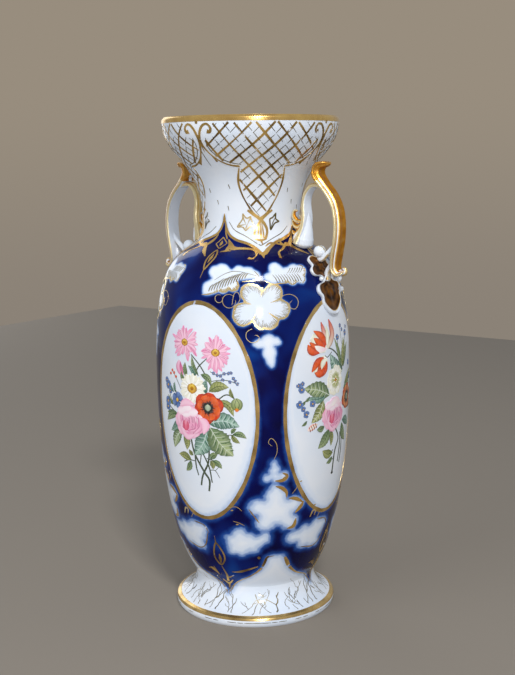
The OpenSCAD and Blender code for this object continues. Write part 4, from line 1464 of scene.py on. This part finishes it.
def side_bouquet():
    """Flamed tulips over a white ranunculus, a rose and a half-hidden poppy."""
    bm = sheet()
    stems(bm, (
        (((-8.5, 42.5), (-0.5, 39), (6, 33), (11.5, 24)), (0.8, 1.1, 1.0)),
        (((-10.5, 37), (-8, 35.5), (-3, 38.5)), (0.5, 0.6, 0.5)),
        (((3, -16), (7.5, -24), (3.5, -33), (2, -48)), (1.1, 1.3, 1.5, 1.6)),
        (((10, -20), (10.5, -30), (9, -41.5)), (1.0, 1.2, 1.0)),
        (((12.5, -20), (13.5, -32), (12, -43)), (0.9, 1.2, 0.9)),
        (((1, -31), (-2, -33), (-5, -32)), 0.7), (((2.5, -38), (-2, -37.5)), 0.6),
        (((4.5, 47), (5.5, 38)), 0.4), (((18, 49), (15, 38)), 0.5), (((9, 55), (11, 42)), 0.4)))
    leaf(bm, (9, 24), (0.5, 47.5), 4, LEAF, 2, -0.06)
    leaf(bm, (11, 26), (14, 46), 7, OLIVE, 3, -0.05)
    leaf(bm, (13, 26), (21, 42), 4.5, LEAF, 2, 0.05)
    leaf(bm, (11, 23), (-5, 37), 9.5, BLUE_LEAF, 3, 0.12)
    leaf(bm, (-6, 9), (-29, 16.5), 12, LEAF, 3, -0.06)
    leaf(bm, (-8, 10), (-27, 9.5), 6, BLUE_LEAF, 2, 0.1)
    leaf(bm, (-12, 6), (-22.5, -8), 9, OLIVE, 3, 0.1)
    leaf(bm, (-5, -15), (-15.5, -27), 8, LEAF, 3, 0.08)
    leaf(bm, (-3, -16), (-2, -27.5), 4.6, OLIVE, 2, 0.06)
    leaf(bm, (0.5, -33), (-11, -29.5), 6.5, OLIVE, 2, 0.14)
    leaf(bm, (0.5, -36), (-6, -39.5), 3.6, LEAF, 2)
    leaf(bm, (12, -14), (20, -28), 7, LEAF, 2, -0.1)
    leaf(bm, (13, -12), (27, -18), 6.5, BLUE_LEAF, 2, 0.1)
    leaf(bm, (18, -2), (32, -4), 7.5, LEAF, 2, 0.1)
    leaf(bm, (16, 14), (29, 22), 6.5, OLIVE, 2, -0.1)
    leaf(bm, (14, 10), (28, 12), 6, LEAF, 1, 0.1)
    for u, v, radius in ((4.6, 47.6, 2.2), (17.8, 49, 2.4), (9.5, 55, 1.6), (-31, 16, 2.6),
                         (-33.5, 19, 1.8), (-30.5, 20, 1.8), (-32.4, 6, 2.8), (-27, -1.4, 2.6),
                         (-22, 5.4, 2.6), (-29.5, 2.5, 2.0), (25, 27, 2.2), (29, 17, 2.4),
                         (30, 5, 2.2), (12, 52, 1.4), (20, 53, 1.4)):
        little_blue(bm, (u, v), radius, 4)
    for u, v in ((-26.5, 10.5), (-28.5, -6), (-30, 8)):
        leaf(bm, (u + 2, v), (u - 2, v - 3), 2, LEAF, 2)
    tulip(bm, (-9, 41), (-22.5, 51.5), 12, 5, 5)
    dab(bm, [(-25.5, 46), (-23, 41.5), (-16, 39.3)], scaled(LENS, 5.5), (RED[0], RED[1], RED[2]), 9)
    dab(bm, [(-20, 44.5), (-15, 41.5), (-9, 41.5)], scaled(LENS, 4.6), (CREAM[0], PINK[0], CREAM[1]),
        9)
    dab(bm, [(-9, 42), (-10, 50), (-12.8, 60)], scaled((0.5, 1, 0.9, 0.9, 0.7, 0.1), 4.2),
        (CREAM[0], RED[1], RED[2]), 6)
    dab(bm, [(-8, 42), (-3.5, 47), (-2, 52), (-4.8, 61)], scaled((0.6, 1, 1, 0.95, 0.7, 0.1), 5),
        (CREAM[1], RED[1], RED[2]), 7)
    dab(bm, [(-8.5, 43), (-7.5, 50), (-8, 57)], scaled(LENS, 3.6), (CREAM[0], CREAM[1], OLIVE[0]), 8)
    tulip(bm, (-9.5, 35.5), (-20, 24.5), 11.5, 6, 5)
    dab(bm, [(-11, 28), (-17, 25.5), (-20.5, 26.5)], scaled(LENS, 6.5), (RED[1], RED[0], RED[2]), 10)
    dab(bm, [(-9.5, 35), (-13, 32), (-14.5, 28)], scaled(LENS, 4.5), (CREAM[0], CREAM[1], OLIVE[0]),
        11)
    daisy(bm, (1, 18.5), (9.5, 11), 11, CREAM, 6, 1.2, 0.62, 0.05)
    for ring, radius in ((0, 5.6), (1, 4.0), (2, 2.4)):
        for index in range(8 - ring):
            turn = math.tau * (index + 0.5 * ring) / (8 - ring)
            ray = np.array([math.cos(turn), 1.15 * math.sin(turn)]) * radius
            dab(bm, [np.array([1, 18.5]) + 0.5 * ray, np.array([1, 18.5]) + ray],
                scaled(ROUNDED, 0.6 * radius),
                (OLIVE[1], (CREAM[1], OLIVE[0], YELLOW[0])[ring], OLIVE[0]), 10 + ring)
    poppy(bm, (20.5, 3.5), 9.5, 5, (tint("#e8965a"), tint("#c4521e"), tint("#6e2a12")))
    rose(bm, (0, -5), 13, 10)
    dab(bm, [(-4, 1), (2, 3.8), (8, -1)], scaled(LENS, 6), (CREAM[0], PINK[0], PINK[0]), 16, 6)
    dab(bm, [(-25.5, -13), (-21.5, -11), (-17, -9.5)], scaled(LENS, 4), (CREAM[0], CREAM[1], RED[0]),
        4)
    for share in (0.2, 0.4, 0.6, 0.8):
        u, v = -25.5 + 8.5 * share, -13 + 3.5 * share
        dab(bm, [(u - 0.6, v + 1.6), (u + 0.6, v - 1.6)], 0.6, (RED[2],) * 3, 6, 1)
    leaf(bm, (-11, -12), (-17.5, -13.5), 4.4, LEAF, 12, 0.1)
    spot(bm, (2, -48), 1.4, (DARK,) * 3, 2, 0.7)
    laid("side_bouquets", bm, (0, MEDALLION_MID), "painted_porcelain", ENAMEL,
         (MEDALLIONS[1], MEDALLIONS[3]), (), 0.8)


front_bouquet()
side_bouquet()


# ---------------------------------------------------------------- floor and light

def floor():
    """A plain pale floor."""
    bm = bmesh.new()
    bmesh.ops.create_grid(bm, x_segments=1, y_segments=1, size=FLOOR_HALF)
    mesh = bpy.data.meshes.new("floor")
    bm.to_mesh(mesh)
    bm.free()
    made, _, shader = finish("floor", roughness=0.85)
    shader.inputs["Base Color"].default_value = tint("#8f877d")
    shader.inputs["Specular IOR Level"].default_value = 0.2
    mesh.materials.append(made)
    piece = bpy.data.objects.new("floor", mesh)
    bpy.context.scene.collection.objects.link(piece)


def sky():
    """Even pale light from all round. What the eye sees of it is a warm grey wall with painted light: a
    little darker low down and lighter higher up.
    """
    world = bpy.data.worlds.new("sky")
    bpy.context.scene.world = world
    world.use_nodes = True
    tree = world.node_tree
    light = tree.nodes["Background"]
    light.inputs["Color"].default_value = tint("#dfe3e8")
    light.inputs["Strength"].default_value = 0.48
    # Painted light on the wall: darker towards the floor, lighter higher up.
    level = add(tree, "ShaderNodeSeparateXYZ", {
        0: add(tree, "ShaderNodeTexCoord").outputs["Generated"]}).outputs["Z"]
    wall = ramp(tree, span(tree, level, -0.15, 0.07), [(0.0, tint("#8b8277")), (1.0, tint("#988d7e"))],
                "EASE")
    seen = add(tree, "ShaderNodeBackground", {"Color": wall, "Strength": 1.0})
    both = add(tree, "ShaderNodeMixShader", {
        0: add(tree, "ShaderNodeLightPath").outputs["Is Camera Ray"],
        1: light.outputs[0], 2: seen.outputs[0]})
    tree.links.new(both.outputs[0], tree.nodes["World Output"].inputs["Surface"])


floor()
sky()
bpy.context.scene.view_settings.view_transform = "Standard"
# The broad lamps only brighten the glaze, and the small ones are mirrored in it as glints.
for broad in (softbox("key_light", -20, 1.8, 0.75, (1.3, 1.3), 10, (0.97, 0.99, 1.0)),
              softbox("fill_light", 35, 1.7, 0.5, (1.0, 0.8), 3)):
    broad.visible_glossy = False
softbox("window_light", 46, 1.5, 1.61, (0.3, 0.26), 20)
softbox("low_window_light", 43, 1.5, 0.5, (0.14, 0.12), 4)
softbox("edge_light", -118, 1.9, 0.8, (0.7, 1.6), 5)
